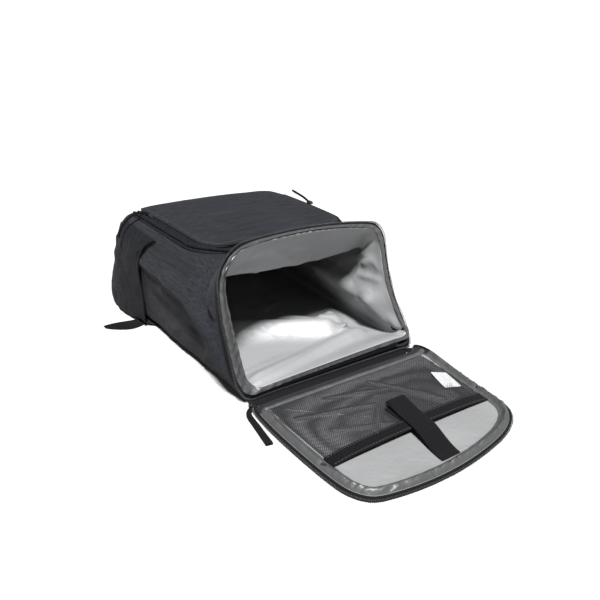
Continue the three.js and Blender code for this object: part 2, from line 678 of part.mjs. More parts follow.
// Zip tape round the pocket's sides and the end by the mouth, hanging under the panel's edge
function addPocketZip() {
  const count = 26;
  const place = (i, k) => {
    const turn = mix(ZIP_SWEEP.start, ZIP_SWEEP.end, i / count);
    const outside = k === 1 || k === 2;
    const grow = 2 * GAP + (outside ? POCKET_TAPE_THICK : 0);
    const [x, y] = pocketOutline(turn, grow);
    return vec(x, y, pocketEdge(turn) - (k > 1 ? POCKET_TAPE_DROP : 0));
  };
  add("pocket_zip", swept(place, count, 4), BLACK);
}

// Side pockets: cloth standing off the side walls near the base, open towards the mouth

function sideStep(side, t) {
  const { side: steps, corner } = STEPS;
  if (side < 0) return mix(STEP_LEFT - SIDE_TUCK, STEP_LEFT + steps + corner, t);
  return mix(STEP_RIGHT + steps + SIDE_TUCK, STEP_RIGHT - corner, t);
}

// t runs down the side wall, s from the pocket's opening to the base; out is measured from the
// pocket's inner face, low is the least height of this face above the ground
function sidePoint(side, t, s, out, low) {
  const open = read(SIDE_EDGE, "down", "at", t);
  const at = mix(open, SIDE_END, s);
  const puff = mix(SIDE_MOUTH, SIDE_PUFF, smooth(s / 0.35)) * (1 - smooth((s - 0.7) / 0.3));
  const round = Math.sqrt(Math.max(0, Math.sin(Math.PI * t))) * mix(0.75, 1.2, t);
  const point = wallPoint(sideStep(side, t), at, -(SIDE_SEAT + puff * round + out));
  point.z = Math.max(point.z, low);
  return point;
}

const SIDE_ROWS = 10;

function addSidePocket(side, name) {
  const along = 6;
  const outer = (i, j) => sidePoint(side, i / SIDE_ROWS, j / along, SIDE_CLOTH, SIDE_LOW);
  const inner = (i, j) => sidePoint(side, i / SIDE_ROWS, j / along, 0, SIDE_LOW + SIDE_CLOTH);
  add(name, between(outer, inner, SIDE_ROWS, along), PLAIN);
}

// Binding along the pocket's opening, in line with its cloth
function addSideBinding(side, name) {
  const long = (SIDE_END - SIDE_EDGE[0].at) * LENGTH;
  const near = -3 * GAP / long;
  const far = near - SIDE_BINDING / long;
  const low = (SIDE_CLOTH - BINDING_THICK) / 2;
  const place = (i, k) => {
    const s = k === 0 || k === 3 ? near : far;
    return sidePoint(side, i / SIDE_ROWS, s, k < 2 ? low : low + BINDING_THICK, SIDE_LOW);
  };
  add(name, swept(place, SIDE_ROWS - 3, 4), BLACK);
}

// Hinge band: flat under the body and the lid, raised at its back edge to the mouth's tape
function addHingeBand() {
  const count = 16;
  const stops = [[-HINGE_LONG, 0], [-HINGE_LONG * 0.3, 0], [-1, 1], [HINGE_UNDER, 1]];
  const place = (i, k) => {
    const x = HINGE_WIDE * (i / count - 0.5);
    const top = k < stops.length;
    const [y, up] = top ? stops[k] : [k === stops.length ? HINGE_UNDER : -HINGE_LONG, 0];
    const body = underside(x / HALF) - MOUTH_TAPE_THICK - GAP - HINGE_CLEAR;
    return vec(x, y, top ? mix(HINGE_THICK, Math.max(HINGE_THICK, body), up) : 0);
  };
  add("hinge_band", swept(place, count, stops.length + 2), BLACK);
}

// Lid: a padded panel with a raised rim, its silver liner and the zip tape round its edge

function lidPoint(turn, inset) {
  const count = LID_OUTLINE.length;
  const f = (((turn % 1) + 1) % 1) * count;
  const i = Math.floor(f);
  const s = f - i;
  const row = (k) => LID_OUTLINE[(i + k + count) % count];
  const blend = (name) => {
    const [a, b, c, d] = [row(-1)[name], row(0)[name], row(1)[name], row(2)[name]];
    return b + 0.5 * s * (c - a + s * (2 * a - 5 * b + 4 * c - d + s * (3 * (b - c) + d - a)));
  };
  return [blend("x") * LID_HALF - inset[0], -blend("y") * LID_LONG - inset[1]];
}

function lidInset(turn, inset) {
  const step = 0.004;
  const [ax, ay] = lidPoint(turn - step, [0, 0]);
  const [bx, by] = lidPoint(turn + step, [0, 0]);
  const long = Math.hypot(bx - ax, by - ay);
  return lidPoint(turn, [inset * (by - ay) / long, -inset * (bx - ax) / long]);
}

function lidRing(i, j, height) {
  const turn = i / LID_ROUNDS;
  if (j === LID_RINGS.length) return vec(LID_MIDDLE.x, LID_MIDDLE.y, height(3 * RIM_FOOT));
  const [x, y] = lidInset(turn, LID_TAPE + LID_RINGS[j] * LID_BAND);
  return vec(x, y, height(LID_RINGS[j]));
}

function lidTop(inset) {
  return LID_FOAM + LID_RISE * read(LID_RIM, "inset", "rise", inset);
}

const LID_ROUNDS = 40;
const LID_RINGS = [0, 0.3, 0.6, 0.9, RIM_FOOT];

function addLidPanel() {
  const top = (i, j) => lidRing(i, j, lidTop);
  const under = (i, j) => lidRing(i, j, (inset) => LID_TURN_UP * clamp(1 - inset / 0.6));
  add("lid_panel", between(top, under, LID_ROUNDS, LID_RINGS.length, { wraps: true, pole: true }), CLOTH);
}

function addLidLiner() {
  const sheet = (lift) => (i, j) => lidRing(i, j, (inset) => lidTop(inset) + lift);
  const shape = { wraps: true, pole: true };
  add("lid_liner", between(sheet(GAP + LID_LINER), sheet(GAP), LID_ROUNDS, LID_RINGS.length, shape), SILVER);
}

function addLidTape() {
  const count = 31;
  const place = (i, k) => {
    const outside = k === 1 || k === 2;
    const [x, y] = lidInset(i / LID_ROUNDS, outside ? 0 : LID_TAPE - GAP);
    return vec(x, y, k > 1 ? LID_TAPE_LOW : LID_TAPE_LOW + LID_TAPE_HIGH);
  };
  add("lid_tape", swept(place, count, 4), BLACK);
}

// Pieces inside the lid: mesh pocket with its hem, closure strap, loop patch and blank label

// Left and right edges of the mesh at a distance from the hinge
function meshEdges(y) {
  const down = -y / LID_LONG;
  return ["left", "right"].map((name) => read(MESH_EDGES, "down", name, down) * LID_HALF);
}

// Height of the mesh's underside over a place on the lid
function meshHeight(x, y) {
  const [left, right] = meshEdges(y);
  const across = Math.sqrt(Math.sin(Math.PI * clamp((x - left) / (right - left))));
  const first = MESH_EDGES[0].down * LID_LONG;
  return LID_FLOOR + MESH_SEAT + MESH_LIFT * across * smooth((-y - first) / (MESH_LINE - first) / 0.8);
}

function meshPoint(u, y, lift) {
  const [left, right] = meshEdges(y);
  const x = mix(left, right, u);
  return vec(x, y, meshHeight(x, y) + lift);
}

function addMesh() {
  const across = 12;
  const down = 6;
  const first = MESH_EDGES[0].down * LID_LONG;
  const sheet = (lift) => (i, j) => meshPoint(i / across, -mix(first, MESH_LINE, j / down), lift);
  add("lid_mesh", between(sheet(MESH_THICK), sheet(0), across, down), NET);
}

function addMeshHem() {
  const count = 14;
  const low = MESH_THICK + GAP;
  const place = (i, k) => {
    const y = -MESH_LINE + (k === 0 || k === 3 ? MESH_HEM_WIDE / 2 : -MESH_HEM_WIDE / 2);
    return meshPoint(i / count, y, low + (k > 1 ? MESH_HEM_THICK : 0));
  };
  add("lid_mesh_hem", swept(place, count, 4), BLACK);
}

function addLidStrap() {
  const count = 10;
  const place = (i, k) => {
    const share = i / count;
    const x = STRAP_SHIFT + STRAP_SLANT * share + (k === 0 || k === 3 ? -0.5 : 0.5) * STRAP_WIDE;
    const fold = share * STRAP_LONG > STRAP_LONG - TIP_FOLD ? 2 : 1;
    const z = LID_FLOOR + MESH_SEAT + MESH_LIFT * read(STRAP_RISE, "along", "high", share);
    return vec(x, -STRAP_ROOT + STRAP_LONG * share, z + (k > 1 ? fold * STRAP_THICK : 0));
  };
  add("lid_strap", swept(place, count, 4), BLACK);
}

function addPatch() {
  const count = 3;
  const low = MESH_THICK + GAP;
  const near = MESH_LINE - MESH_HEM_WIDE / 2 - 2 * GAP;
  const place = (i, k) => {
    const x = PATCH_WIDE * (i / count - 0.5);
    const y = (k === 0 || k === 3 ? PATCH_LONG : 0) - near;
    return vec(x, y, meshHeight(x, y) + low + (k > 1 ? PATCH_THICK : 0));
  };
  add("loop_patch", swept(place, count, 4), BLACK);
}

function addLabel() {
  const count = 5;
  const middle = meshEdges(-LABEL_FROM_HINGE)[1] - LABEL_FROM_EDGE;
  const place = (i, k) => {
    const u = LABEL_LONG * (i / count - 0.5);
    const w = LABEL_WIDE * (k === 0 || k === 3 ? -0.5 : 0.5);
    const x = middle + w * Math.cos(LABEL_TURN) - u * Math.sin(LABEL_TURN);
    const y = w * Math.sin(LABEL_TURN) + u * Math.cos(LABEL_TURN) - LABEL_FROM_HINGE;
    const curl = w < 0 ? LABEL_CURL * (i / count) ** 2 : 0;
    return vec(x, y, meshHeight(x, y) + MESH_THICK + GAP + curl + (k > 1 ? LABEL_THICK : 0));
  };
  add("care_label", swept(place, count, 4), WHITE);
}

// Zip sliders, their pulls, and the tab at the hinge's right end

function addPocketSlider(name, turn) {
  const grow = 3 * GAP + POCKET_TAPE_THICK + SLIDER_WIDE / 2;
  const [x, y] = pocketOutline(turn, grow);
  addSlider(name, x, y, pocketEdge(turn) - 1, 0);
}

function addSlider(name, x, y, low, turn) {
  const place = (i, k) => {
    const { along, scale } = SLIDER_ROWS[i];
    const { wide, high } = SLIDER_SECTION[k];
    const u = SLIDER_LONG * (along - 0.5);
    const w = SLIDER_WIDE * scale * wide;
    const z = low + SLIDER_HIGH * high * mix(0.6, 1, scale);
    return vec(x + w * Math.cos(turn) - u * Math.sin(turn), y + w * Math.sin(turn) + u * Math.cos(turn), z);
  };
  add(name, swept(place, SLIDER_ROWS.length - 1, SLIDER_SECTION.length), METAL);
}

function addPull(name, points) {
  const path = new THREE.CatmullRomCurve3(points.map((point) => vec(...point)));
  const count = 9;
  const sides = 8;
  const place = (i, k) => {
    const share = i / count;
    const along = path.getTangent(share);
    const across = vec(0, 0, 1).cross(along).normalize();
    const up = along.clone().cross(across);
    const radius = PULL_ROUND / 2 * (share > 0.6 ? 1.3 : 1);
    const angle = k / sides * 2 * Math.PI;
    return path.getPoint(share).addScaledVector(across, radius * Math.cos(angle))
      .addScaledVector(up, radius * Math.sin(angle));
  };
  add(name, swept(place, count, sides), BLACK);
}

function zipEndPlace({ out, y }) {
  return [-HINGE_WIDE / 2 - out * ZIP_END_WIDE, y * ZIP_END_WIDE];
}

function mouthSliderPlace() {
  const [x, y] = zipEndPlace(ZIP_END[ZIP_END.length - 1]);
  return [x, y + MOUTH_SLIDER_BACK];
}

function addMouthSlider() {
  addSlider("mouth_slider", ...mouthSliderPlace(), ZIP_END_LOW + ZIP_END_THICK + GAP, MOUTH_SLIDER_TURN);
}

function addMouthPull() {
  const count = 8;
  const [fromX, fromY] = mouthSliderPlace();
  const points = MOUTH_PULL.map(({ out, y }) => vec(fromX - out * TAB_LONG, fromY + y * TAB_LONG, 0));
  const path = new THREE.CatmullRomCurve3(points);
  const place = (i, k) => {
    const share = i / count;
    const point = path.getPoint(share);
    const along = path.getTangent(share);
    const wide = TAB_WIDE * mix(0.7, 1.1, share) * (k === 0 || k === 3 ? -0.5 : 0.5);
    return vec(point.x - along.y * wide, point.y + along.x * wide, k > 1 ? TAB_THICK : 0);
  };
  add("mouth_pull", swept(place, count, 4), BLACK);
}

function addZipEnd() {
  const count = 4;
  const path = new THREE.CatmullRomCurve3(ZIP_END.map((row) => vec(...zipEndPlace(row), ZIP_END_LOW)));
  const place = (i, k) => {
    const point = path.getPoint(i / count);
    const along = path.getTangent(i / count);
    const wide = ZIP_END_WIDE * (k === 0 || k === 3 ? -0.5 : 0.5);
    return vec(point.x - along.y * wide, point.y + along.x * wide, point.z + (k > 1 ? ZIP_END_THICK : 0));
  };
  add("zip_end_left", swept(place, count, 4), BLACK);
}

function addHingeTab() {
  const { wide, long, high } = HINGE_TAB;
  const geometry = new THREE.BoxGeometry(wide, long, high);
  geometry.translate((HINGE_WIDE + wide) / 2 + GAP, -long / 2 - MOUTH_TAPE_THICK - GAP, high / 2 + GAP);
  add("hinge_tab", geometry, BLACK);
}

// Shoulder straps: padded straps, buckles and webbing pressed flat under the back panel

function padPoint(share) {
  const f = share * (PAD.length - 1);
  const i = Math.min(PAD.length - 2, Math.floor(f));
  const blend = (name) => mix(PAD[i][name], PAD[i + 1][name], f - i);
  return [blend("x") * WIDTH, blend("y") * LENGTH, blend("wide") * PAD_WIDE];
}

function addPad(side, name) {
  const count = 10;
  const place = (i, k) => {
    const [x, y, wide] = padPoint(i / count);
    return vec(side * x + wide * PAD_SECTION[k].wide, y, PAD_THICK * PAD_SECTION[k].high);
  };
  add(name, swept(place, count, PAD_SECTION.length), CLOTH);
}

function addBuckle(side, name) {
  const end = PAD[PAD.length - 1];
  const x = side * end.x * WIDTH;
  const y = end.y * LENGTH + GAP + BUCKLE_LONG / 2;
  const geometry = new THREE.BoxGeometry(BUCKLE_WIDE, BUCKLE_LONG, BUCKLE_THICK);
  geometry.translate(x, y, BUCKLE_THICK / 2);
  add(name, geometry, PLASTIC);
}

function addWebbing(side, name) {
  const end = PAD[PAD.length - 1];
  const start = [end.x * WIDTH, end.y * LENGTH + BUCKLE_LONG + 2 * GAP];
  const stop = [WEBBING_END.x * WIDTH, WEBBING_END.y * LENGTH];
  const count = 5;
  const place = (i, k) => {
    const share = i / count;
    const x = mix(start[0], stop[0], share) + (k === 0 || k === 3 ? -0.5 : 0.5) * WEBBING_WIDE;
    const rise = (underside(x / HALF) - WEBBING_THICK - 2 * GAP) * smooth((share - 0.4) / 0.6);
    return vec(side * x, mix(start[1], stop[1], share), Math.max(0, rise) + (k > 1 ? WEBBING_THICK : 0));
  };
  add(name, swept(place, count, 4), BLACK);
}

function addTail() {
  const count = TAIL.length - 1;
  const place = (i, k) => {
    const row = TAIL[i];
    const before = TAIL[Math.max(0, i - 1)];
    const after = TAIL[Math.min(count, i + 1)];
    const along = vec((after.x - before.x) * WIDTH, (after.y - before.y) * LENGTH, 0).normalize();
    const reach = row.wide * WEBBING_WIDE * (k === 0 || k === 3 ? 0 : 1);
    const thick = k > 1 ? WEBBING_THICK : 0;
    const flat = reach * Math.cos(row.turn) + thick * Math.sin(row.turn);
    const x = row.x * WIDTH - along.y * flat;
    const y = row.y * LENGTH - WEBBING_WIDE / 2 - along.x * flat;
    return vec(x, y, reach * Math.sin(row.turn) + thick * Math.cos(row.turn));
  };
  add("strap_tail", swept(place, count, 4), BLACK);
}

addShell();
addLiner();
addMouthTape();
addMouthHem();
addPocketPanel();
addPocketGusset();
addPocketZip();
addSidePocket(-1, "side_pocket_left");
addSidePocket(1, "side_pocket_right");
addSideBinding(-1, "side_binding_left");
addSideBinding(1, "side_binding_right");
addHingeBand();
addLidPanel();
addLidLiner();
addLidTape();
addMesh();
addMeshHem();
addLidStrap();
addPatch();
addLabel();
addPocketSlider("pocket_slider_left", SLIDER_LEFT_AT);
addPocketSlider("pocket_slider_right", SLIDER_RIGHT_AT);
addMouthSlider();
addZipEnd();
addPull("pocket_pull_left", PULL_LEFT);
addPull("pocket_pull_right", PULL_RIGHT);
addMouthPull();
addHingeTab();
for (const [side, name] of [[-1, "left"], [1, "right"]]) {
  addPad(side, `shoulder_strap_${name}`);
  addBuckle(side, `strap_buckle_${name}`);
  addWebbing(side, `strap_webbing_${name}`);
}
addTail();

export default bag;
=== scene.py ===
"""Dresses the insulated backpack: cloth, silver film, net, webbing, zips, stitching, light and camera.

Metres, +Z up. X runs along the lid's hinge and +Y from the hinge to the bag's base. Lengths in
tables and constants are millimetres, turned to metres by MM.
"""
import math

import bmesh
import bpy
import numpy as np
from mathutils import Matrix, Vector, noise
from mathutils.bvhtree import BVHTree


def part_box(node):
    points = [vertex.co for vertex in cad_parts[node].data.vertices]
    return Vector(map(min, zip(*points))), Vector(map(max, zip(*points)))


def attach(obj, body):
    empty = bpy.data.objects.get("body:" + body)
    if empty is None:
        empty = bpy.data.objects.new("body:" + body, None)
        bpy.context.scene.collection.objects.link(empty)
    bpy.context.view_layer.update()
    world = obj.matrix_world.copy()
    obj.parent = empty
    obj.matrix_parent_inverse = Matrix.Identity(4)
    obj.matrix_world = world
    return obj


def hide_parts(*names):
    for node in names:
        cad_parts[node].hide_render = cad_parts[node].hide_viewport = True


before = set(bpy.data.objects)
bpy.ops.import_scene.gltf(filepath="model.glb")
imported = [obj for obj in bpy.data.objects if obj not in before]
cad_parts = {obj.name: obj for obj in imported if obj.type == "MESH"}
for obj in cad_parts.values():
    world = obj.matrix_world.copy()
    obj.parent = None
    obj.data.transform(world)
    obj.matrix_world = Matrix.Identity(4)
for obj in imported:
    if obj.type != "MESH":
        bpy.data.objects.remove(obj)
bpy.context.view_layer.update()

MM = 0.001

# Camera, as fitted to the photograph's view: degrees, millimetres
CAMERA_AZIMUTH = -36.33
CAMERA_ELEVATION = 24.15
CAMERA_ROLL = 2
CAMERA_DISTANCE = 1119
CAMERA_TARGET = (33.94, 133.6, 60)
CAMERA_LENS = 42
CAMERA_SENSOR = 36

# Driving sizes of the body, as the frame has them
WIDTH = 300
LENGTH = 420
DEPTH = 200
WALL = 5
GAP = 0.3
LINER = 1.2
FLOOR_EDGE = 3
UNDERSIDE = 7.6
BASE_AT = 0.94
CREASE_SIDE = (0.4, 0.6)
HALF = WIDTH / 2

# Steps round a section of the body, and points to each step
STEPS_SIDE = 6
STEPS_FLAT = 7
STEPS_CORNER = 3
STEP_ROUND = 2 * (STEPS_SIDE + STEPS_FLAT) + 4 * STEPS_CORNER
STEP_PARTS = 7
ROWS = 120
LAST_AT = 1.09

# Middle of the cavity's cross-section, that its folds rise towards
CAVITY_MIDDLE = (-8, 95)

# Plane of the mouth's rim: its middle, and its directions across and up
MOUTH_MIDDLE = (-12, 25, 105)
MOUTH_UP = Vector((0, 0.236, 0.972))
MOUTH_FORWARD = np.array([0, -0.971, 0.24])

# The mouth's coil, outwards from the body's cloth and in front of the rim
COIL_OUT = 1.7
COIL_FORWARD = 1.9

# Hem of film round the mouth: how far its free edge on the left turns in, and its gathers
HEM_TURN_IN = 9
HEM_LEFT = (-90, -40)
HEM_EDGE = (4, 12)
HEM_WAVES = 61
HEM_SWELL = 0.5
HEM_OUT = 0.7
HEM_PUCKER = 0.9

# Share of the length from the rim over which folds rise to their full height
SHELL_CALM = 0.08
LINER_CALM = 0.04

# Film: its creases, how deep it sinks, and its calmer floor
CREASE_RISE = 1.6
CREASE_NARROW = 2.6
LINER_DIP = 0.6
FLOOR_WILD = 0.35
FLOOR_WILD_UP = (30, 40)
FLOOR_SIDE = 0.2
FLOOR_END = 0.05

# Pairs, here and below, are where a fade starts and its length.
# Sill of film along the mouth's bottom: its rise at both ends, and its fades up and inwards
SILL_LEFT = 3
SILL_RIGHT = 12
SILL_UP = (16, 34)
SILL_IN = (0, 46)

# Where the lid's rim lies flatter and further off, by the hinge
HINGE_SIDE = (-46, 24)
HINGE_SIDE_SHIFT = 9
HINGE_SIDE_FLAT = 0.62
LID_TOP = 5
LID_MIDDLE = (2, -135, 5)

# Lid's gathered rim: its height, where the net's wrinkles end, and its gathers
GATHER_ABOVE = 7.9
RIM_UP = (7.4, 4)
NET_SIDE = -15
LID_WAVES = 44
LID_WAVE_SHARP = 0.7
LID_PUCKER = 1.5
LID_SWELL = 0.45
LID_SWELL_LEAST = 0.1

# Rays that find the lid's edge for its coil, in degrees, and the coil's distance outwards
LID_COIL_FROM = -222
LID_COIL_TURN = 264
LID_COIL_POINTS = 240
LID_COIL_OUT = 0.2

# Black facing of the mouth's bottom edge
FACING_OUT = 0.6
FACING_BELOW = 13
FACING_MIDDLE = -4
FACING_HALF = 132
FACING_LEAN = 1.5
FACING_FORWARD = 1.2
FACING_THICK = 0.8
FACING_ROWS = (0, 0.34, 0.67, 1)

# Zip coil, its turns and its wire
COIL_RADIUS = 1.3
COIL_PITCH = 2.2
COIL_WIRE = 0.75
COIL_SIDES = 7

# Front pocket's outline
POCKET_MIDDLE = (4, 274.5)
POCKET_HALF = (129, 129.5)
POCKET_CORNER = 36
POCKET_TURN = (0.5, 0.74)
EDGE_SEAM_IN = 6

# Rolled flaps along the pocket's zip: name, distance outwards, radius, lift
FLAPS = (("zip_flap_inner", 6.6, 2.5, 2.2), ("zip_flap_outer", 14, 3.8, 1.6))

# Seam across the front pocket
SEAM_AT = 236
SEAM_BOW = 14
SEAM_BOW_LONG = 82
SEAM_HALF = 2.2
SEAM_DEEP = 0.9
SEAM_ENDS = (120, -20)
SEAM_LINE = [(-120, 221), (-103, 238), (-60, 254), (15, 254), (85, 240), (134, 225)]

# Side pockets: their gathered base, share of its wrinkles above it, and lowest point
GATHERED_BASE = (300, 60)
MOUTH_WRINKLES = 0.35
POCKET_LOWEST = 2.5

# Net of the lid's pocket, and its strands
NET_PITCH = 3.6
NET_STRAND = 0.9
NET_THICK = 0.5
NET_TUCK = 3
NET_ENDS = -168

# Stitches: length, gap, width
STITCH_LONG = 3.2
STITCH_GAP = 1.6
STITCH_WIDE = 0.7
STITCH_LIFT = 0.25
STITCH_HEIGHTS = (-0.15, 0.3, 0.3, -0.15)
STITCH_FOOT = -0.35
HEM_SEAM_IN = 2.5
HEM_SEAM_ENDS = 4

# Ladder buckles
BUCKLE_RAIL = 3.5
BUCKLE_BAR = 3.6
BUCKLE_BARS = (0, 0.43, 0.86)
BUCKLE_THINNER = 0.6
BUCKLE_ROUND = 0.5

# Angles up to which triangles are joined, and how sharp a kept fold stays
JOIN_FACE = 32
JOIN_SHAPE = 70
KEPT_FOLD = 0.75

# Dark and light colours of the woven pieces, and shades of the film
HEATHER_COLORS = ((0.0035, 0.0038, 0.005), (0.024, 0.025, 0.03))
PLAIN_COLORS = ((0.0035, 0.0037, 0.005), (0.01, 0.0105, 0.013))
WEBBING_COLORS = ((0.001, 0.001, 0.0015), (0.007, 0.007, 0.0085))
FILM_SHADE = (0.28, 0.283, 0.287)
# The lid's film is the same silver film painted slightly darker: painted shade
FILM_LID_PAINTED_SHADE = (0.265, 0.267, 0.27)
# The gathered film is the same silver film painted far darker: painted shade in its gathers
FILM_GATHERED_PAINTED_SHADE = (0.075, 0.076, 0.077)
FILM_DARKER = 0.88

# Light: the sun's place in degrees, its strength and width, the sky, and the floor in metres
SUN_AZIMUTH = -34
SUN_ELEVATION = 59
SUN_STRENGTH = 9.9
SUN_ANGLE = 9
SKY_STRENGTH = 0.12
FLOOR_SHADE = 0.41
FLOOR_REACH = 400

# Routes of the pocket's two zip pulls
PULL_ROUND = 4
PULL_END_RADIUS = 1.45
PULL_END_SWELL = 0.65
PULL_END_RIDGE = 0.1
PULL_END_RIDGES = 30
PULL_LEFT = [
    (-131.1, 327.1, 176), (-136, 330, 178.3), (-143, 332, 179), (-149.5, 334.5, 177.6), (-156, 338, 174),
    (-163, 342, 167), (-169.5, 346, 157), (-173.5, 349, 147), (-175.5, 351, 137),
]
PULL_RIGHT = [(139.1, 265.2, 176), (139.5, 276, 178.5), (140, 289, 180), (140.5, 302, 181), (141, 313, 182)]

# Zip tape at the hinge's two ends: routes, radius, height, and how flat it lies
TAPE_END_LEFT = [(-146, -3, 1.6), (-139, -7, 1.6), (-131, -9, 1.6), (-122, -9, 1.6)]
TAPE_END_RIGHT = [(132, 1, 1.6), (140, -4, 1.6), (147, -8, 1.6), (155, -12, 1.6), (163, -19, 1.6)]
TAPE_END_ROUND = 6.5
TAPE_END_HIGH = 1.6
TAPE_END_FLAT = 0.24


def table(columns, rows):
    return [dict(zip(columns, row)) for row in rows]


# Folds of the cloth and of the silver film: both ends, rise (into the cavity on the film,
# outwards on the cloth), and spread to each side
FOLD_SHARP = 1.35
FOLD_COLUMNS = ("x0", "y0", "z0", "x1", "y1", "z1", "rise", "spread")
FILM_FOLDS = table(FOLD_COLUMNS, [
    (-120, 168, 20, 4, 150, 22, 8, 15), (4, 150, 22, 52, 112, 22, 12, 14),
    (52, 112, 22, 84, 110, 22, 16, 12), (84, 110, 22, 94, 92, 22, 9, 11),
    (94, 92, 22, 76, 72, 20, 14, 11), (-132, 10, 14, -40, 30, 14, 9, 11),
    (-40, 30, 14, 40, 50, 14, 12, 12), (40, 50, 14, 104, 62, 14, 9, 12),
    (-118, 50, 14, -40, 62, 14, 2.5, 10), (145, 20, 40, 130, 55, 69, 16, 14),
    (130, 55, 69, 120, 101, 77, 22, 17), (120, 101, 77, 110, 189, 84, 21, 18),
    (110, 189, 84, 112, 290, 90, 12, 20), (-148, 24, 44, -140, 150, 44, 24, 34),
    (132, 52, 176, 118, 84, 140, 9, 12), (118, 84, 140, 108, 120, 116, 8, 12),
    (128, 46, 140, 112, 92, 120, 5, 9), (128, 34, 110, 110, 84, 104, 4, 8),
    (19, 212, 22, 51, 227, 22, 15, 13), (51, 227, 22, 45, 214, 22, 12, 10),
    (45, 214, 22, 28, 140, 22, 10, 11), (19, 212, 22, 4, 250, 24, 13, 13),
    (4, 250, 24, -40, 258, 24, 10, 16), (-40, 258, 24, -96, 236, 22, 7, 16),
    (-158, 40, 60, -150, 150, 84, 4, 12), (-120, 96, 146, -40, 86, 150, 2, 9),
])
NET_FOLDS = table(FOLD_COLUMNS, [
    (-120, -80, 10, -20, -112, 14, 3, 10), (-60, -60, 10, 40, -92, 14, 2.6, 9),
    (-100, -130, 12, -30, -160, 14, 2.4, 8), (20, -60, 10, 70, -150, 14, 2.8, 9),
    (-20, -120, 14, -60, -165, 14, 2.4, 8),
])
POCKET_FOLDS = table(FOLD_COLUMNS, [
    (-170, 290, 128, -168, 360, 96, 4, 11), (-168, 360, 96, -160, 410, 90, 3.5, 12),
    (-172, 300, 60, -168, 400, 44, 3, 12), (-170, 320, 90, -166, 400, 66, 3, 9),
    (-164, 340, 140, -160, 420, 116, 3, 10),
])
CLOTH_FOLDS = table(FOLD_COLUMNS, [
    (-160, 8, 20, -170, 52, 88, 11, 13), (-170, 52, 88, -172, 116, 116, 12, 15),
    (-172, 116, 116, -170, 200, 118, 11, 17), (-170, 200, 118, -168, 290, 116, 8, 18),
    (-160, 4, 34, -172, 38, 96, 6, 8), (-172, 44, 120, -166, 84, 160, 9, 10),
    (-164, 74, 160, -166, 96, 138, 8, 8), (-158, 96, 166, -166, 118, 140, 7, 8),
    (-158, 122, 168, -168, 140, 150, 2.2, 7), (-164, 100, 132, -168, 112, 108, 2.5, 7),
    (-166, 120, 84, -160, 190, 34, 3, 12), (-166, 60, 60, -158, 100, 22, 3, 9),
    (-166, 90, 66, -160, 240, 60, -5, 24), (-164, 130, 140, -162, 250, 146, -3.5, 20),
])

# Wrinkles as smooth noise: height, or turn of a wave, size of the bumps, and the noise's seed
WRINKLES = table(("name", "height", "size", "seed"), [
    ("shell", 1.3, 38, 3.1), ("shell", 0.5, 15, 7.7), ("liner", 2, 56, 1.7), ("liner", 0.7, 24, 4.2),
    ("liner_crease", 1, 44, 9.3), ("hem", 0.8, 9, 3.3), ("hem_wave", 5, 60, 2.2),
    ("hem_swell", 0.5, 40, 6.1), ("pocket", 0.6, 42, 8.2), ("gusset", 0.5, 15, 5.2),
    ("side_pocket", 2.2, 30, 2.9), ("side_pocket", 0.9, 12, 6.3), ("lid", 0.4, 40, 3.3),
    ("lid_rim", 1.5, 14, 9.9), ("lid_rim", 0.9, 7, 2.7), ("lid_wave", 16, 55, 1.4), ("lid_wave", 5, 20, 8.4),
    ("lid_swell", 1.1, 30, 5.8), ("net", 0.8, 30, 4.4),
])

# Sections of the body from the rim to the base, as shares of the driving sizes
SECTIONS = table((
    "at", "back", "front", "skew", "lowL", "midL", "highL", "lowR", "midR", "highR",
    "topL", "topM", "topR", "roundLow", "roundL", "roundR", "fill",
), [
    (0, 0, 0.119, 0.017, 0.97, 1.13, 1.1, 1.04, 0.92, 0.84, 1.04, 1.07, 0.97, 0.07, 0.22, 0.12, 1),
    (0.06, 0.062, 0.165, 0.014, 0.98, 1.13, 1.06, 1.02, 0.9, 0.88, 0.94, 0.92, 0.88, 0.07, 0.17, 0.12, 1),
    (0.13, 0.13, 0.215, 0.004, 0.99, 1.12, 1, 1.01, 0.87, 0.92, 0.815, 0.755, 0.79, 0.07, 0.1, 0.1, 1),
    (0.26, 0.26, 0.31, 0, 1, 1.11, 1.02, 1.01, 0.86, 0.96, 0.83, 0.82, 0.82, 0.08, 0.05, 0.05, 1),
    (0.43, 0.43, 0.45, 0, 1.02, 1.11, 1.03, 1.01, 0.88, 0.98, 0.825, 0.835, 0.82, 0.09, 0.05, 0.05, 1),
    (0.62, 0.62, 0.62, 0, 1.03, 1.08, 1.03, 1.02, 0.95, 0.99, 0.82, 0.835, 0.82, 0.09, 0.05, 0.05, 1),
    (0.81, 0.81, 0.8, 0, 1.06, 1.06, 1.02, 1.02, 1.01, 0.99, 0.815, 0.835, 0.81, 0.09, 0.06, 0.06, 1),
    (0.94, 0.955, 0.92, 0, 1.11, 1.07, 0.99, 1.02, 1.02, 0.96, 0.805, 0.825, 0.79, 0.1, 0.08, 0.08, 1),
    (1, 1.014, 0.968, 0, 1.1, 1.05, 0.94, 1, 0.99, 0.9, 0.76, 0.78, 0.74, 0.13, 0.13, 0.13, 1),
    (1.03, 1.031, 0.984, 0, 1.06, 1.01, 0.89, 0.97, 0.95, 0.86, 0.71, 0.74, 0.71, 0.15, 0.18, 0.18, 0.88),
    (1.06, 1.037, 0.993, 0, 1.06, 1.01, 0.89, 0.97, 0.95, 0.86, 0.71, 0.74, 0.71, 0.15, 0.18, 0.18, 0.5),
    (1.09, 1.039, 0.995, 0, 1.06, 1.01, 0.89, 0.97, 0.95, 0.86, 0.71, 0.74, 0.71, 0.15, 0.18, 0.18, 0),
])
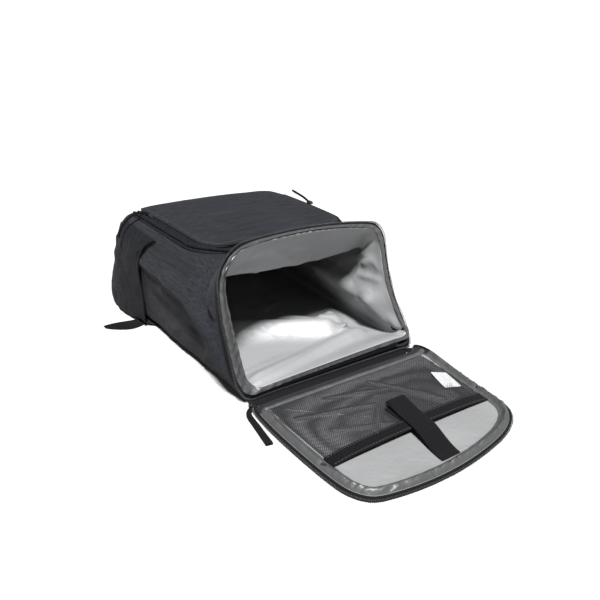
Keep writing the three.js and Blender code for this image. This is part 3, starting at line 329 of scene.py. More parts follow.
CREASES = table(("side", "y0", "z0", "y1", "z1", "rise", "spread"), [
    (-1, 0.74, 0.56, 0.26, 0.58, 0.03, 0.26), (-1, 0.26, 0.58, 0.03, 0.14, 0.034, 0.2),
    (-1, 0.24, 0.8, 0.17, 0.6, -0.028, 0.14), (1, 0.66, 0.36, 0.12, 0.36, -0.085, 0.26),
    (1, 0.13, 0.36, 0.08, 0.2, -0.045, 0.13), (1, 0.18, 0.66, 0.06, 0.62, -0.045, 0.4),
])
FLOOR_FOLDS = table(("x0", "y0", "x1", "y1", "rise", "spread"), [
    (-0.45, 0.05, 0.3, 0.15, 0.05, 0.13), (-0.24, 0.4, 0.2, 0.22, 0.115, 0.2),
    (0.2, 0.22, 0.3, 0.3, 0.08, 0.15),
])


def vector(point):
    return Vector(point) * MM


def mix(a, b, share):
    return a + (b - a) * share


def eased(value):
    s = np.clip(value, 0, 1)
    return s * s * (3 - 2 * s)


def ramp(value, start, over):
    """0 up to a start, and 1 from a distance past it."""
    return np.clip((value - start) / over, 0, 1)


def fade(value, start, over):
    return eased(ramp(value, start, over))


def read(rows, key, name, t):
    """Value of one column at t, on a curve through the rows."""
    last = len(rows) - 1
    i = 0
    while i < last - 1 and rows[i + 1][key] <= t:
        i += 1

    def slope(k):
        a, b = rows[max(0, k - 1)], rows[min(last, k + 1)]
        return (b[name] - a[name]) / (b[key] - a[key])
    low, high = rows[i], rows[i + 1]
    span = high[key] - low[key]
    s = min(1.0, max(0.0, (t - low[key]) / span))
    return ((2 * s ** 3 - 3 * s ** 2 + 1) * low[name] + (s ** 3 - 2 * s ** 2 + s) * span * slope(i)
            + (3 * s ** 2 - 2 * s ** 3) * high[name] + (s ** 3 - s ** 2) * span * slope(i + 1))


def through(a, b, c, t):
    return a * (1 - t) * (1 - 2 * t) + b * 4 * t * (1 - t) + c * t * (2 * t - 1)


def ridge(u, v, u0, v0, u1, v1, spread):
    du, dv = u1 - u0, v1 - v0
    t = np.clip(((u - u0) * du + (v - v0) * dv) / (du * du + dv * dv), 0, 1)
    away = np.hypot(u - u0 - du * t, v - v0 - dv * t) / spread
    return np.where(away >= 1, 0, (1 - away) * (1 - away * away))


def section_share(step, row):
    """Where a number of steps round the section lies, across and up."""
    low, right, left = row["roundLow"] * DEPTH, row["roundR"] * DEPTH, row["roundL"] * DEPTH

    def corner(p, q, radius, share):
        rp, rq = radius / HALF, radius / DEPTH
        angle = share * math.pi / 2
        return p * (1 - rp) + rp * math.cos(angle), mix(rq, 1 - rq, q) + rq * math.sin(angle)
    stretches = (
        (STEPS_FLAT, lambda t: (mix(low / HALF - 1, 1 - low / HALF, t), 0)),
        (STEPS_CORNER, lambda t: corner(1, 0, low, t - 1)),
        (STEPS_SIDE, lambda t: (1, mix(low / DEPTH, 1 - right / DEPTH, t))),
        (STEPS_CORNER, lambda t: corner(1, 1, right, t)),
        (STEPS_FLAT, lambda t: (mix(1 - right / HALF, left / HALF - 1, t), 1)),
        (STEPS_CORNER, lambda t: corner(-1, 1, left, 1 + t)),
        (STEPS_SIDE, lambda t: (-1, mix(1 - left / DEPTH, low / DEPTH, t))),
        (STEPS_CORNER, lambda t: corner(-1, 0, low, 2 + t)),
    )
    s = step % STEP_ROUND
    for count, place in stretches:
        if s < count:
            return place(s / count)
        s -= count
    return stretches[0][1](0)


def body_points(p, q, row, at, inset):
    """Points of the body at one station, moved inwards by an inset."""
    across = p * row["fill"]
    up = 0.5 + (q - 0.5) * row["fill"]
    left = -HALF * through(row["lowL"], row["midL"], row["highL"], up) + inset
    right = HALF * through(row["lowR"], row["midR"], row["highR"], up) - inset
    share = (across + 1) / 2
    top = DEPTH * through(row["topL"], row["topM"], row["topR"], share) - inset
    x = mix(left, right, share)
    under = mix(UNDERSIDE, FLOOR_EDGE, np.abs(np.clip(across, -1, 1)) ** 10)
    z = mix(under + inset, top, up)
    closing = fade(at, BASE_AT, 1 - BASE_AT)
    lean = LENGTH * (row["front"] - row["back"]) / top * inset * (1 - 2 * up)
    along = mix(row["back"], row["front"], up) + row["skew"] * across * up
    y = LENGTH * along + lean - inset * closing
    for crease in CREASES:
        near = fade(across * crease["side"], *CREASE_SIDE)
        depth = ridge(y, z, crease["y0"] * LENGTH, crease["z0"] * DEPTH, crease["y1"] * LENGTH,
                      crease["z1"] * DEPTH, crease["spread"] * DEPTH)
        x = x + crease["side"] * near * depth * crease["rise"] * DEPTH
    return np.stack([x, y, z], 1)


def body_grid(inset):
    """The body's surface as rows of points from the rim to the base, with their shares."""
    stations = np.linspace(0, 1, ROWS) ** 1.1 * LAST_AT
    points, shares = [], []
    for at in stations:
        row = {name: read(SECTIONS, "at", name, at) for name in SECTIONS[0]}
        pq = np.array([section_share(i / STEP_PARTS, row) for i in range(STEP_ROUND * STEP_PARTS)])
        points.append(body_points(pq[:, 0], pq[:, 1], row, at, inset))
        shares.append(np.concatenate([pq, np.full((len(pq), 1), at)], 1))
    return np.array(points), np.array(shares)


def grid_normals(grid):
    """Outward normals of a grid of points that closes round each row."""
    round_way = np.roll(grid, -1, 1) - np.roll(grid, 1, 1)
    along = np.gradient(grid, axis=0)
    normal = np.cross(round_way, along)
    return normal / np.maximum(1e-9, np.linalg.norm(normal, axis=2))[:, :, None]


def sheet_faces(rows, across, start, flip):
    faces = []
    for j in range(rows - 1):
        for i in range(across):
            n = (i + 1) % across
            face = (start + j * across + i, start + j * across + n,
                    start + (j + 1) * across + n, start + (j + 1) * across + i)
            faces.append(face[::-1] if flip else face)
    return faces


def body_solid(name, outer, inner, material):
    """A wall between two grids, joined at the rim, with each grid's last row closed."""
    rows, across = outer.shape[:2]
    points = np.concatenate([outer.reshape(-1, 3), inner.reshape(-1, 3)]) * MM
    back = rows * across
    faces = sheet_faces(rows, across, 0, False) + sheet_faces(rows, across, back, True)
    for i in range(across):
        n = (i + 1) % across
        faces.append((n, i, back + i, back + n))
    faces.append(tuple((rows - 1) * across + i for i in range(across)))
    faces.append(tuple(back + (rows - 1) * across + i for i in reversed(range(across))))
    piece = from_faces(name, points, faces, material)
    mesh = bmesh.new()
    mesh.from_mesh(piece.data)
    bmesh.ops.remove_doubles(mesh, verts=mesh.verts, dist=0.001 * MM)
    bmesh.ops.recalc_face_normals(mesh, faces=mesh.faces)
    mesh.to_mesh(piece.data)
    mesh.free()
    return piece


def direction(azimuth, elevation):
    """Direction towards a place in the sky, in degrees, with azimuth 0 in front of the lid."""
    turn = math.radians(azimuth)
    height = math.radians(elevation)
    return Vector((math.sin(turn) * math.cos(height), -math.cos(turn) * math.cos(height), math.sin(height)))


def add_object(name, data):
    piece = bpy.data.objects.new(name, data)
    bpy.context.collection.objects.link(piece)
    return piece


def add_camera():
    azimuth = math.radians(CAMERA_AZIMUTH)
    roll = math.radians(CAMERA_ROLL)
    back = direction(CAMERA_AZIMUTH, CAMERA_ELEVATION)
    right = Vector((math.cos(azimuth), math.sin(azimuth), 0))
    up = back.cross(right)
    turned_right = right * math.cos(roll) + up * math.sin(roll)
    turned_up = up * math.cos(roll) - right * math.sin(roll)
    data = bpy.data.cameras.new("camera")
    data.sensor_width = CAMERA_SENSOR
    data.lens = CAMERA_LENS
    camera = add_object("camera", data)
    turn = Matrix((turned_right, turned_up, back)).transposed().to_4x4()
    camera.matrix_world = Matrix.Translation(vector(CAMERA_TARGET) + back * CAMERA_DISTANCE * MM) @ turn
    bpy.context.scene.camera = camera


def link(name, mesh, material):
    piece = add_object(name, mesh)
    mesh.materials.clear()
    mesh.materials.append(material)
    for polygon in mesh.polygons:
        polygon.use_smooth = True
    return piece


def from_faces(name, points, faces, material):
    mesh = bpy.data.meshes.new(name)
    mesh.from_pydata([tuple(p) for p in points], [], faces)
    mesh.validate()
    mesh.update()
    return link(name, mesh, material)


class Material:
    """A principled material with a few helpers for its procedural nodes."""

    def __init__(self, name, color, roughness, **sockets):
        self.material = bpy.data.materials.new(name)
        self.material.use_nodes = True
        self.tree = self.material.node_tree
        self.shader = self.tree.nodes["Principled BSDF"]
        self.shader.inputs["Base Color"].default_value = (*color, 1)
        self.shader.inputs["Roughness"].default_value = roughness
        for socket, value in sockets.items():
            self.shader.inputs[socket.replace("_", " ")].default_value = value
        self.place = self.tree.nodes.new("ShaderNodeTexCoord").outputs["Object"]

    def node(self, kind, **inputs):
        """A new node. Its inputs are values or other nodes' outputs."""
        node = self.tree.nodes.new(f"ShaderNode{kind}")
        for name, value in inputs.items():
            socket = node.inputs[name.replace("_", " ")]
            if isinstance(value, bpy.types.NodeSocket):
                self.tree.links.new(value, socket)
            else:
                socket.default_value = value
        return node

    def scaled(self, scale):
        """The piece's own coordinates, times bumps to a metre, one number or one for each axis."""
        scale = scale if isinstance(scale, tuple) else (scale,) * 3
        return self.node("Mapping", Scale=scale, Vector=self.place).outputs["Vector"]

    def noise(self, scale, detail=3.0, rough=0.5, distortion=0.0):
        return self.node("TexNoise", Scale=1, Detail=detail, Roughness=rough, Distortion=distortion,
                         Vector=self.scaled(scale)).outputs["Fac"]

    def wave(self, scale, direction):
        node = self.node("TexWave", Scale=1, Distortion=0.3, Vector=self.scaled(scale))
        node.bands_direction = direction
        return node.outputs["Fac"]

    def mixed(self, a, b, share):
        return self.node("Mix", Factor=share, A=a, B=b).outputs["Result"]

    def color(self, value, dark, light, low=0.3, high=0.7):
        ramp = self.node("ValToRGB", Fac=value)
        for element, place, shade in zip(ramp.color_ramp.elements, (low, high), (dark, light)):
            element.position = place
            element.color = (*shade, 1)
        self.tree.links.new(ramp.outputs["Color"], self.shader.inputs["Base Color"])

    def rough(self, value, low, high):
        node = self.node("MapRange", To_Min=low, To_Max=high, Value=value)
        self.tree.links.new(node.outputs["Result"], self.shader.inputs["Roughness"])

    def bump(self, height, strength, distance):
        """Adds a bump to the bumps that the material has."""
        node = self.node("Bump", Strength=strength, Distance=distance * MM, Height=height)
        normal = self.shader.inputs["Normal"]
        if normal.is_linked:
            self.tree.links.new(normal.links[0].from_socket, node.inputs["Normal"])
        self.tree.links.new(node.outputs["Normal"], normal)


def heather(name, along):
    """Heather polyester: fine specks, and slub streaks along one axis."""
    material = Material(name, (0.08, 0.085, 0.1), 0.92, Sheen_Weight=0.02, Specular_IOR_Level=0.12)
    streaks = {"x": (14, 620, 620), "y": (620, 14, 620)}[along]
    specks = material.noise(scale=900, detail=2)
    slub = material.noise(scale=streaks, detail=4, rough=0.65)
    material.color(material.mixed(specks, slub, share=0.6), *HEATHER_COLORS, low=0.36, high=0.66)
    weave = material.mixed(material.wave(700, "X"), material.wave(700, "Y"), share=0.5)
    material.bump(material.noise(scale=60), strength=0.25, distance=1.2)
    material.bump(weave, strength=0.35, distance=0.25)
    return material.material


def plain(name):
    """Plain polyester of the side pockets and gusset."""
    material = Material(name, (0.05, 0.053, 0.064), 0.85, Sheen_Weight=0.01, Specular_IOR_Level=0.1)
    material.color(material.noise(scale=260, detail=4), *PLAIN_COLORS)
    material.bump(material.noise(scale=40), strength=0.3, distance=1.5)
    material.bump(material.wave(900, "DIAGONAL"), strength=0.25, distance=0.15)
    return material.material


def film(name, wrinkle, shade):
    """Silver film over foam, creased finely where it is gathered."""
    material = Material(name, shade, 0.45, Metallic=0.3, Specular_IOR_Level=0.4)
    material.color(material.noise(scale=9), tuple(c * FILM_DARKER for c in shade), shade)
    material.rough(material.noise(scale=26), low=0.38, high=0.52)
    wrinkles = material.noise(scale=24, detail=4, rough=0.55, distortion=0.6)
    material.bump(wrinkles, strength=0.3 * wrinkle, distance=4)
    creases = material.noise(scale=120, distortion=0.4)
    material.bump(creases, strength=0.35 * wrinkle, distance=1.2)
    return material.material


def ribbed(name, direction, ribs=1500):
    """Black webbing with ribs across its length, as many as that to a metre."""
    material = Material(name, (0.024, 0.024, 0.028), 0.75, Sheen_Weight=0.01, Specular_IOR_Level=0.1)
    value = material.mixed(material.wave(ribs, direction), material.noise(scale=500), share=0.35)
    material.color(value, *WEBBING_COLORS)
    material.bump(material.wave(ribs, direction), strength=0.6, distance=0.5)
    return material.material


def simple(name, color, roughness, **sockets):
    """Small moulded or metal pieces, with a faint grain."""
    material = Material(name, color, roughness, **sockets)
    grain = material.noise(scale=300)
    material.color(grain, tuple(c * 0.8 for c in color), tuple(min(1, c * 1.25) for c in color))
    material.bump(grain, strength=0.12, distance=0.2)
    return material.material


def cad_mesh(node):
    """A CAD node's mesh with its triangles joined to four-sided faces where they lie flat enough."""
    mesh = bmesh.new()
    mesh.from_mesh(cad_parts[node].data)
    bmesh.ops.remove_doubles(mesh, verts=mesh.verts, dist=0.01 * MM)
    bmesh.ops.join_triangles(mesh, faces=mesh.faces, angle_face_threshold=math.radians(JOIN_FACE),
                             angle_shape_threshold=math.radians(JOIN_SHAPE))
    return mesh


def softened(node, material, levels, sharp=55.0):
    """A subdivided copy of a CAD node. Edges sharper than the angle keep their fold."""
    mesh = cad_mesh(node)
    crease = mesh.edges.layers.float.new("crease_edge")
    for edge in mesh.edges:
        if len(edge.link_faces) == 2 and edge.calc_face_angle(0) > math.radians(sharp):
            edge[crease] = KEPT_FOLD
    data = bpy.data.meshes.new(f"{node}_cloth")
    mesh.to_mesh(data)
    mesh.free()
    piece = link(f"{node}_cloth", data, material)
    modifier = piece.modifiers.new("round", "SUBSURF")
    modifier.levels = levels
    modifier.render_levels = levels
    bpy.context.view_layer.update()
    rounded = bpy.data.meshes.new_from_object(piece.evaluated_get(bpy.context.evaluated_depsgraph_get()))
    piece.modifiers.clear()
    piece.data = rounded
    bpy.data.meshes.remove(data)
    return piece


def points_of(piece):
    points = np.empty(len(piece.data.vertices) * 3)
    piece.data.vertices.foreach_get("co", points)
    return points.reshape(-1, 3) / MM


def set_points(piece, points):
    piece.data.vertices.foreach_set("co", (points * MM).ravel())
    piece.data.update()


def crumple(points, size, seed):
    """Smooth noise at each point, from about -1 to 1, with bumps of about that size."""
    offset = Vector((seed, seed * 2, seed * 3))
    return np.array([noise.noise(Vector(p) / size + offset) for p in points])


def wrinkled(points, name):
    """Height of the wrinkles of that name at each point."""
    rows = [row for row in WRINKLES if row["name"] == name]
    return sum(row["height"] * crumple(points, row["size"], row["seed"]) for row in rows)


def folds(points, rows):
    """Height of the highest fold and depth of the deepest hollow at each point."""
    height = np.zeros(len(points))
    depth = np.zeros(len(points))
    for row in rows:
        start = np.array([row["x0"], row["y0"], row["z0"]], float)
        run = np.array([row["x1"], row["y1"], row["z1"]], float) - start
        share = np.clip((points - start) @ run / (run @ run), 0, 1)
        away = np.linalg.norm(points - start - share[:, None] * run, axis=1) / row["spread"]
        taper = 0.75 + 0.25 * np.sin(math.pi * share)
        part = np.clip(1 - away, 0, 1) ** FOLD_SHARP * row["rise"] * taper
        height = np.maximum(height, part)
        depth = np.minimum(depth, part)
    return height + depth


def inwards(points):
    """Direction from each point of the body's wall to the middle of its cross-section."""
    across, up = CAVITY_MIDDLE
    away = np.stack([across - points[:, 0], np.zeros(len(points)), up - points[:, 2]], 1)
    return away / np.maximum(1, np.linalg.norm(away, axis=1))[:, None]


def dress(piece, *nodes, slot):
    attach(piece, "root")
    if nodes:
        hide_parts(*nodes)
    return piece


def add_pull(side, points, material):
    """A short cord on a zip's slider, with a moulded end."""
    data = bpy.data.curves.new(f"pull_{side}", "CURVE")
    data.dimensions = "3D"
    data.resolution_u = 6
    data.bevel_depth = PULL_ROUND / 2 * MM
    data.bevel_resolution = 3
    data.use_fill_caps = True
    spline = data.splines.new("POLY")
    smoothed = sampled(points, 36)
    spline.points.add(len(smoothed) - 1)
    for point, place in zip(spline.points, smoothed):
        point.co = (*place, 1)
    data.materials.append(material)
    piece = add_object(f"pocket_pull_{side}_cord", data)
    end = pull_end(f"pocket_pull_{side}_end", smoothed[-12:], material)
    dress(piece, f"pocket_pull_{side}", slot="pull_cord")
    dress(end, slot="pull_cord")


def sampled(points, count):
    """Points evenly along a smooth curve through the given ones, in metres."""
    rows = [vector(p) for p in points]
    fine = []
    for i in range(len(rows) - 1):
        before, start = rows[max(0, i - 1)], rows[i]
        end, after = rows[i + 1], rows[min(len(rows) - 1, i + 2)]
        for k in range(12):
            t = k / 12
            bend = (2 * before - 5 * start + 4 * end - after) * t ** 2
            turn = (3 * start - before - 3 * end + after) * t ** 3
            fine.append(0.5 * (2 * start + (end - before) * t + bend + turn))
    fine.append(rows[-1])
    return evenly(fine, count)


def evenly(points, count):
    """The same path with its points at even distances."""
    lengths = [0.0]
    for a, b in zip(points, points[1:]):
        lengths.append(lengths[-1] + (b - a).length)
    result = []
    k = 0
    for i in range(count):
        want = lengths[-1] * i / (count - 1)
        while k < len(points) - 2 and lengths[k + 1] < want:
            k += 1
        share = (want - lengths[k]) / max(1e-9, lengths[k + 1] - lengths[k])
        result.append(points[k].lerp(points[k + 1], share))
    return result


def tube(name, path, radius, sides, material):
    """A tube along a path; radius is a number or a function of the share along it."""
    points, faces = [], []
    side = Vector((0, 0, 1))
    last = len(path) - 1
    for i, place in enumerate(path):
        along = (path[min(last, i + 1)] - path[max(0, i - 1)]).normalized()
        side = (side - along * side.dot(along)).normalized()
        other = along.cross(side)
        size = radius(i / last) if callable(radius) else radius
        for k in range(sides):
            angle = 2 * math.pi * k / sides
            points.append(place + (side * math.cos(angle) + other * math.sin(angle)) * size)
    for i in range(last):
        for k in range(sides):
            n = (k + 1) % sides
            faces.append((i * sides + k, i * sides + n, (i + 1) * sides + n, (i + 1) * sides + k))
    faces.append(tuple(range(sides))[::-1])
    faces.append(tuple(last * sides + k for k in range(sides)))
    return from_faces(name, points, faces, material)


def pull_end(name, path, material):
    def radius(share):
        ridges = PULL_END_RIDGE * math.sin(share * PULL_END_RIDGES) * (0.1 < share < 0.9)
        swell = PULL_END_SWELL * math.sin(math.pi * min(1, 0.15 + share)) ** 0.5
        return (PULL_END_RADIUS + swell + ridges) * MM
    return tube(name, evenly(path, 28), radius, 16, material)


def dress_shell():
    outer, shares = body_grid(0)
    inner = body_grid(WALL)[0]
    flat = outer.reshape(-1, 3)
    calm = eased(shares[:, :, 2] / SHELL_CALM)
    left = shares[:, :, 0] < 0
    rise = folds(flat, CLOTH_FOLDS).reshape(calm.shape) * left
    height = (rise + wrinkled(flat, "shell").reshape(calm.shape)) * calm
    outer = outer + outward(outer, shares) * height[:, :, None]
    outer[:, :, 2] = np.maximum(outer[:, :, 2], FLOOR_EDGE - 1)
    piece = body_solid("shell_cloth", outer, inner, FABRIC_ALONG)
    dress(piece, "shell", slot="outer_fabric")


def outward(grid, shares):
    """Normals that point out of the body."""
    normal = grid_normals(grid)
    away = np.stack([shares[:, :, 0], np.zeros(grid.shape[:2]), shares[:, :, 1] - 0.5], 2)
    sign = np.sign((normal * away)[: len(grid) // 2].sum())
    return normal * sign


def liner_grid(inset):
    grid, shares = body_grid(inset)
    floor = (eased(1 - shares[:, :, 1] / FLOOR_SIDE) * eased((1 - np.abs(shares[:, :, 0])) / FLOOR_SIDE)
             * eased(shares[:, :, 2] / FLOOR_END))
    lift = np.zeros(grid.shape[:2])
    for fold in FLOOR_FOLDS:
        height = ridge(grid[:, :, 0], grid[:, :, 1], fold["x0"] * WIDTH, fold["y0"] * LENGTH,
                       fold["x1"] * WIDTH, fold["y1"] * LENGTH, fold["spread"] * DEPTH)
        lift = np.maximum(lift, height * fold["rise"] * DEPTH)
    grid[:, :, 2] += lift * floor + sill_rise(grid)
    return grid, shares


def sill_rise(points):
    """How far the film's floor rises behind the mouth's bottom edge, most at the right."""
    low = 1 - fade(points[..., 2], *SILL_UP)
    near = 1 - fade(points[..., 1], *SILL_IN)
    right = ramp(points[..., 0], -HALF, WIDTH)
    return low * near * (SILL_LEFT + (SILL_RIGHT - SILL_LEFT) * right)


def dress_liner():
    outer = liner_grid(WALL + GAP)[0]
    inner, shares = liner_grid(WALL + GAP + LINER)
    flat = inner.reshape(-1, 3)
    calm = eased(shares[:, :, 2] / LINER_CALM)
    rise = folds(flat, FILM_FOLDS)
    wild = mix(FLOOR_WILD, 1, fade(flat[:, 2], *FLOOR_WILD_UP))
    soft = np.maximum(wrinkled(flat, "liner"), -LINER_DIP)
    sharp = CREASE_RISE * (1 - np.abs(wrinkled(flat, "liner_crease")) * CREASE_NARROW).clip(0, 1) ** 2
    height = (rise + (soft + sharp + LINER_DIP) * wild).reshape(calm.shape) * calm
    inner = inner - outward(inner, shares) * height[:, :, None]
    dress(body_solid("liner_film", outer, inner, FILM), "liner", slot="silver_liner")


def dress_hem():
    """The silver strip round the mouth: gathered along its length."""
    # Its film is the gathered film, painted far darker: painted shade in its gathers
    piece = softened("mouth_hem", GATHERED_FILM_PAINTED_SHADE, 4)
    points = points_of(piece)
    x, y, z = points.T
    normal = np.array([0, -MOUTH_UP.z, MOUTH_UP.y])
    turn = np.arctan2(z - MOUTH_MIDDLE[2], x - MOUTH_MIDDLE[0])
    rim = body_grid(0)[0][0]
    inset = np.array([np.hypot(rim[:, 0] - p[0], rim[:, 2] - p[2]).min() for p in points])
    y += fade(x, *HEM_LEFT) * HEM_TURN_IN * fade(inset, *HEM_EDGE)
    swell = HEM_SWELL + wrinkled(points, "hem_swell")
    waves = np.sin(turn * HEM_WAVES + wrinkled(points, "hem_wave")) * swell
    z += sill_rise(points)
    points += normal * (HEM_OUT + HEM_PUCKER * waves + wrinkled(points, "hem"))[:, None]
    set_points(piece, points)
    dress(piece, "mouth_hem", slot="silver_liner")


def dress_facing():
    """Black facing of the mouth's bottom edge, below the film's sill."""
    rim = body_grid(-FACING_OUT)[0][0]
    low = [p for p in rim if p[2] < FACING_BELOW and abs(p[0] - FACING_MIDDLE) < FACING_HALF]
    low.sort(key=lambda p: p[0])
    points, faces = [], []
    for x, y, z in low:
        rise = float(sill_rise(np.array([x, y, z])))
        for share in FACING_ROWS:
            up = z + 1 + share * (WALL + rise)
            points.append((x * MM, (y + share * FACING_LEAN - FACING_FORWARD) * MM, up * MM))
    for i in range(len(low) - 1):
        a, b = 4 * i, 4 * i + 4
        faces.extend((a + k, b + k, b + k + 1, a + k + 1) for k in range(3))
    piece = from_faces("mouth_facing", points, faces, TAPE)
    thick = piece.modifiers.new("thick", "SOLIDIFY")
    thick.thickness = FACING_THICK * MM
    dress(piece, slot="zip_tape")


def dress_pocket():
    panel = softened("pocket_panel", FABRIC_ACROSS, 3)
    points = points_of(panel)
    x, y, z = points.T
    seam = np.exp(-((y - SEAM_AT - SEAM_BOW * np.cos(x / SEAM_BOW_LONG)) / SEAM_HALF) ** 2)
    inner = ramp(np.abs(x - POCKET_MIDDLE[0]), *SEAM_ENDS)
    z += wrinkled(points, "pocket") - SEAM_DEEP * seam * inner
    set_points(panel, points)
    dress(panel, "pocket_panel", slot="outer_fabric")
    gusset = softened("pocket_gusset", PLAIN, 2)
    points = points_of(gusset)
    points[:, 2] += wrinkled(points, "gusset")
    set_points(gusset, points)
    dress(gusset, "pocket_gusset", slot="plain_fabric")
    dress_flaps(gusset)
    return panel


def pocket_edge(grow, start, stop, count):
    """Places round the pocket's outline, grown by a distance, from one turn to another."""
    places = []
    for i in range(count):
        turn = mix(start, stop, i / (count - 1)) % 1 * 8
        k, share = int(turn), turn % 1
        quarter = k // 2
        ahead = ((1, 1), (-1, 1), (-1, -1), (1, -1))[quarter]
        before = ((1, -1), (1, 1), (-1, 1), (-1, -1))[quarter]
        angle = (quarter + (share if k % 2 else 0)) * math.pi / 2
        share = 1 if k % 2 else share
        x = mix(before[0], ahead[0], share) * (POCKET_HALF[0] - POCKET_CORNER)
        y = mix(before[1], ahead[1], share) * (POCKET_HALF[1] - POCKET_CORNER)
        reach = POCKET_CORNER + grow
        places.append((POCKET_MIDDLE[0] + x + reach * math.cos(angle),
                       POCKET_MIDDLE[1] + y + reach * math.sin(angle)))
    return places


def dress_flaps(gusset):
    """Rolled edges of the cloth on both sides of the pocket's zip."""
    tree = surface(gusset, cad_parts["shell"])
    for name, grow, size, lift in FLAPS:
        def radius(share, size=size):
            return size * MM * mix(0.35, 1, math.sin(math.pi * min(1, 0.06 + share * 0.94)) ** 0.5)
        places = [drop(tree, x, y, lift) for x, y in pocket_edge(grow, *POCKET_TURN, 60)]
        path = evenly([p for p in places if p is not None], 90)
        dress(tube(name, path, radius, 12, PLAIN), slot="plain_fabric")


def dress_seams(panel, net_hem):
    tree = surface(panel)
    line = [tuple(p / MM)[:2] for p in sampled([(x, y, 0) for x, y in SEAM_LINE], 60)]
    dress(stitches("panel_seam", line, tree, THREAD_DARK), slot="outer_fabric")
    edge = stitches("panel_edge_seam", pocket_edge(-EDGE_SEAM_IN, 0.5, 1.0, 160), tree, THREAD_GREY)
    dress(edge, slot="outer_fabric")
    hem = surface(net_hem)
    low, high = (Vector(c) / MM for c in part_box("lid_mesh_hem"))
    for name, y in (("hem_seam_near", low.y + HEM_SEAM_IN), ("hem_seam_far", high.y - HEM_SEAM_IN)):
        line = [(low.x + HEM_SEAM_ENDS, y), (high.x - HEM_SEAM_ENDS, y)]
        dress(stitches(name, line, hem, THREAD_GREY), slot="webbing")


def dress_side_pockets():
    for side in ("left", "right"):
        piece = softened(f"side_pocket_{side}", PLAIN, 3)
        points = points_of(piece)
        base = ramp(points[:, 1], *GATHERED_BASE)
        wrinkle = wrinkled(points, "side_pocket") * mix(MOUTH_WRINKLES, 1, base)
        drape = folds(points * (-1 if side == "right" else 1, 1, 1), POCKET_FOLDS)
        points -= inwards(points) * (wrinkle + drape)[:, None]
        points[:, 2] = np.maximum(points[:, 2], POCKET_LOWEST)
        set_points(piece, points)
        dress(piece, f"side_pocket_{side}", slot="plain_fabric")
        dress(softened(f"side_binding_{side}", PLAIN, 2), f"side_binding_{side}", slot="webbing")


def settle_hinge_side(points, shift):
    """Flattens the lid's rim by the hinge, and moves it off by a distance."""
    near = fade(points[:, 1], *HINGE_SIDE)
    points[:, 2] -= near * np.maximum(0, points[:, 2] - LID_TOP) * HINGE_SIDE_FLAT
    points[:, 1] -= near * shift


def dress_lid():
    panel = softened("lid_panel", FABRIC_ACROSS, 2)
    points = points_of(panel)
    settle_hinge_side(points, 0)
    set_points(panel, points)
    dress(panel, "lid_panel", slot="outer_fabric")
    # The lid's film is painted slightly darker than the cavity's: painted shade
    liner = softened("lid_liner", LID_FILM_PAINTED_SHADE, 3, sharp=70)
    points = points_of(liner)
    x, y, z = points.T
    turn = np.arctan2(y - LID_MIDDLE[1], x - LID_MIDDLE[0])
    rim = ramp(z, *RIM_UP)
    swell = np.clip(LID_SWELL + wrinkled(points, "lid_swell"), LID_SWELL_LEAST, 1)
    waves = np.sin(turn * LID_WAVES + wrinkled(points, "lid_wave")) * swell
    sharp = LID_PUCKER * np.sign(waves) * np.abs(waves) ** LID_WAVE_SHARP
    wobble = wrinkled(points, "lid") * (1 - rim) * fade(y, NET_ENDS, NET_SIDE)
    raised = z.copy()
    z += (sharp + wrinkled(points, "lid_rim")) * rim + np.maximum(0, wobble)
    settle_hinge_side(points, HINGE_SIDE_SHIFT)
    set_points(liner, points)
    # The raised, gathered rim takes the darker film: painted shade
    liner.data.materials.append(GATHERED_FILM_PAINTED_SHADE)
    for polygon in liner.data.polygons:
        if raised[list(polygon.vertices)].mean() > GATHER_ABOVE:
            polygon.material_index = 1
    dress(liner, "lid_liner", slot="silver_liner")


def surface(*pieces):
    """A tree of the faces of some pieces or CAD nodes, to find heights on."""
    points, faces = [], []
    for piece in pieces:
        mesh = piece.data
        start = len(points)
        points += [v.co.copy() for v in mesh.vertices]
        faces += [tuple(start + i for i in p.vertices) for p in mesh.polygons]
    return BVHTree.FromPolygons(points, faces)


def drop(tree, x, y, lift):
    """The point on a surface straight below a place, in metres, or None past its edge."""
    hit = tree.ray_cast(Vector((x * MM, y * MM, 0.5)), Vector((0, 0, -1)))
    return hit[0] + Vector((0, 0, lift * MM)) if hit[0] is not None else None


def bar_faces(first, rings):
    """Faces of a closed bar with four points to each ring."""
    faces = []
    for i in range(rings - 1):
        a, b = first + 4 * i, first + 4 * i + 4
        faces.extend((a + k, a + (k + 1) % 4, b + (k + 1) % 4, b + k) for k in range(4))
    last = first + 4 * (rings - 1)
    faces.append((first + 3, first + 2, first + 1, first))
    faces.append((last, last + 1, last + 2, last + 3))
    return faces


def net_strands(tree, width, low, high):
    """Flat strands in two diagonal directions, over and under each other."""
    points, faces = [], []
    step = NET_PITCH / 2
    for way in (1, -1):
        start = -width - (high - low)
        while start < width + (high - low):
            row = []
            y = low
            while y <= high:
                x = start + way * (y - low)
                over = NET_THICK / 2 * math.cos(math.pi * (y - low) / step) * way
                place = drop(tree, x, y, NET_THICK + over) if abs(x) < width else None
                if place is None:
                    add_strand(points, faces, row, way)
                    row = []
                else:
                    row.append(place)
                y += step
            add_strand(points, faces, row, way)
            start += NET_PITCH
    return points, faces


def add_strand(points, faces, row, way):
    if len(row) < 2:
        return
    across = Vector((-way, 1, 0)).normalized() * NET_STRAND / 2 * MM
    up = Vector((0, 0, NET_THICK / 2 * MM))
    faces += bar_faces(len(points), len(row))
    for place in row:
        points.extend((place - across - up, place + across - up, place + across + up, place - across + up))


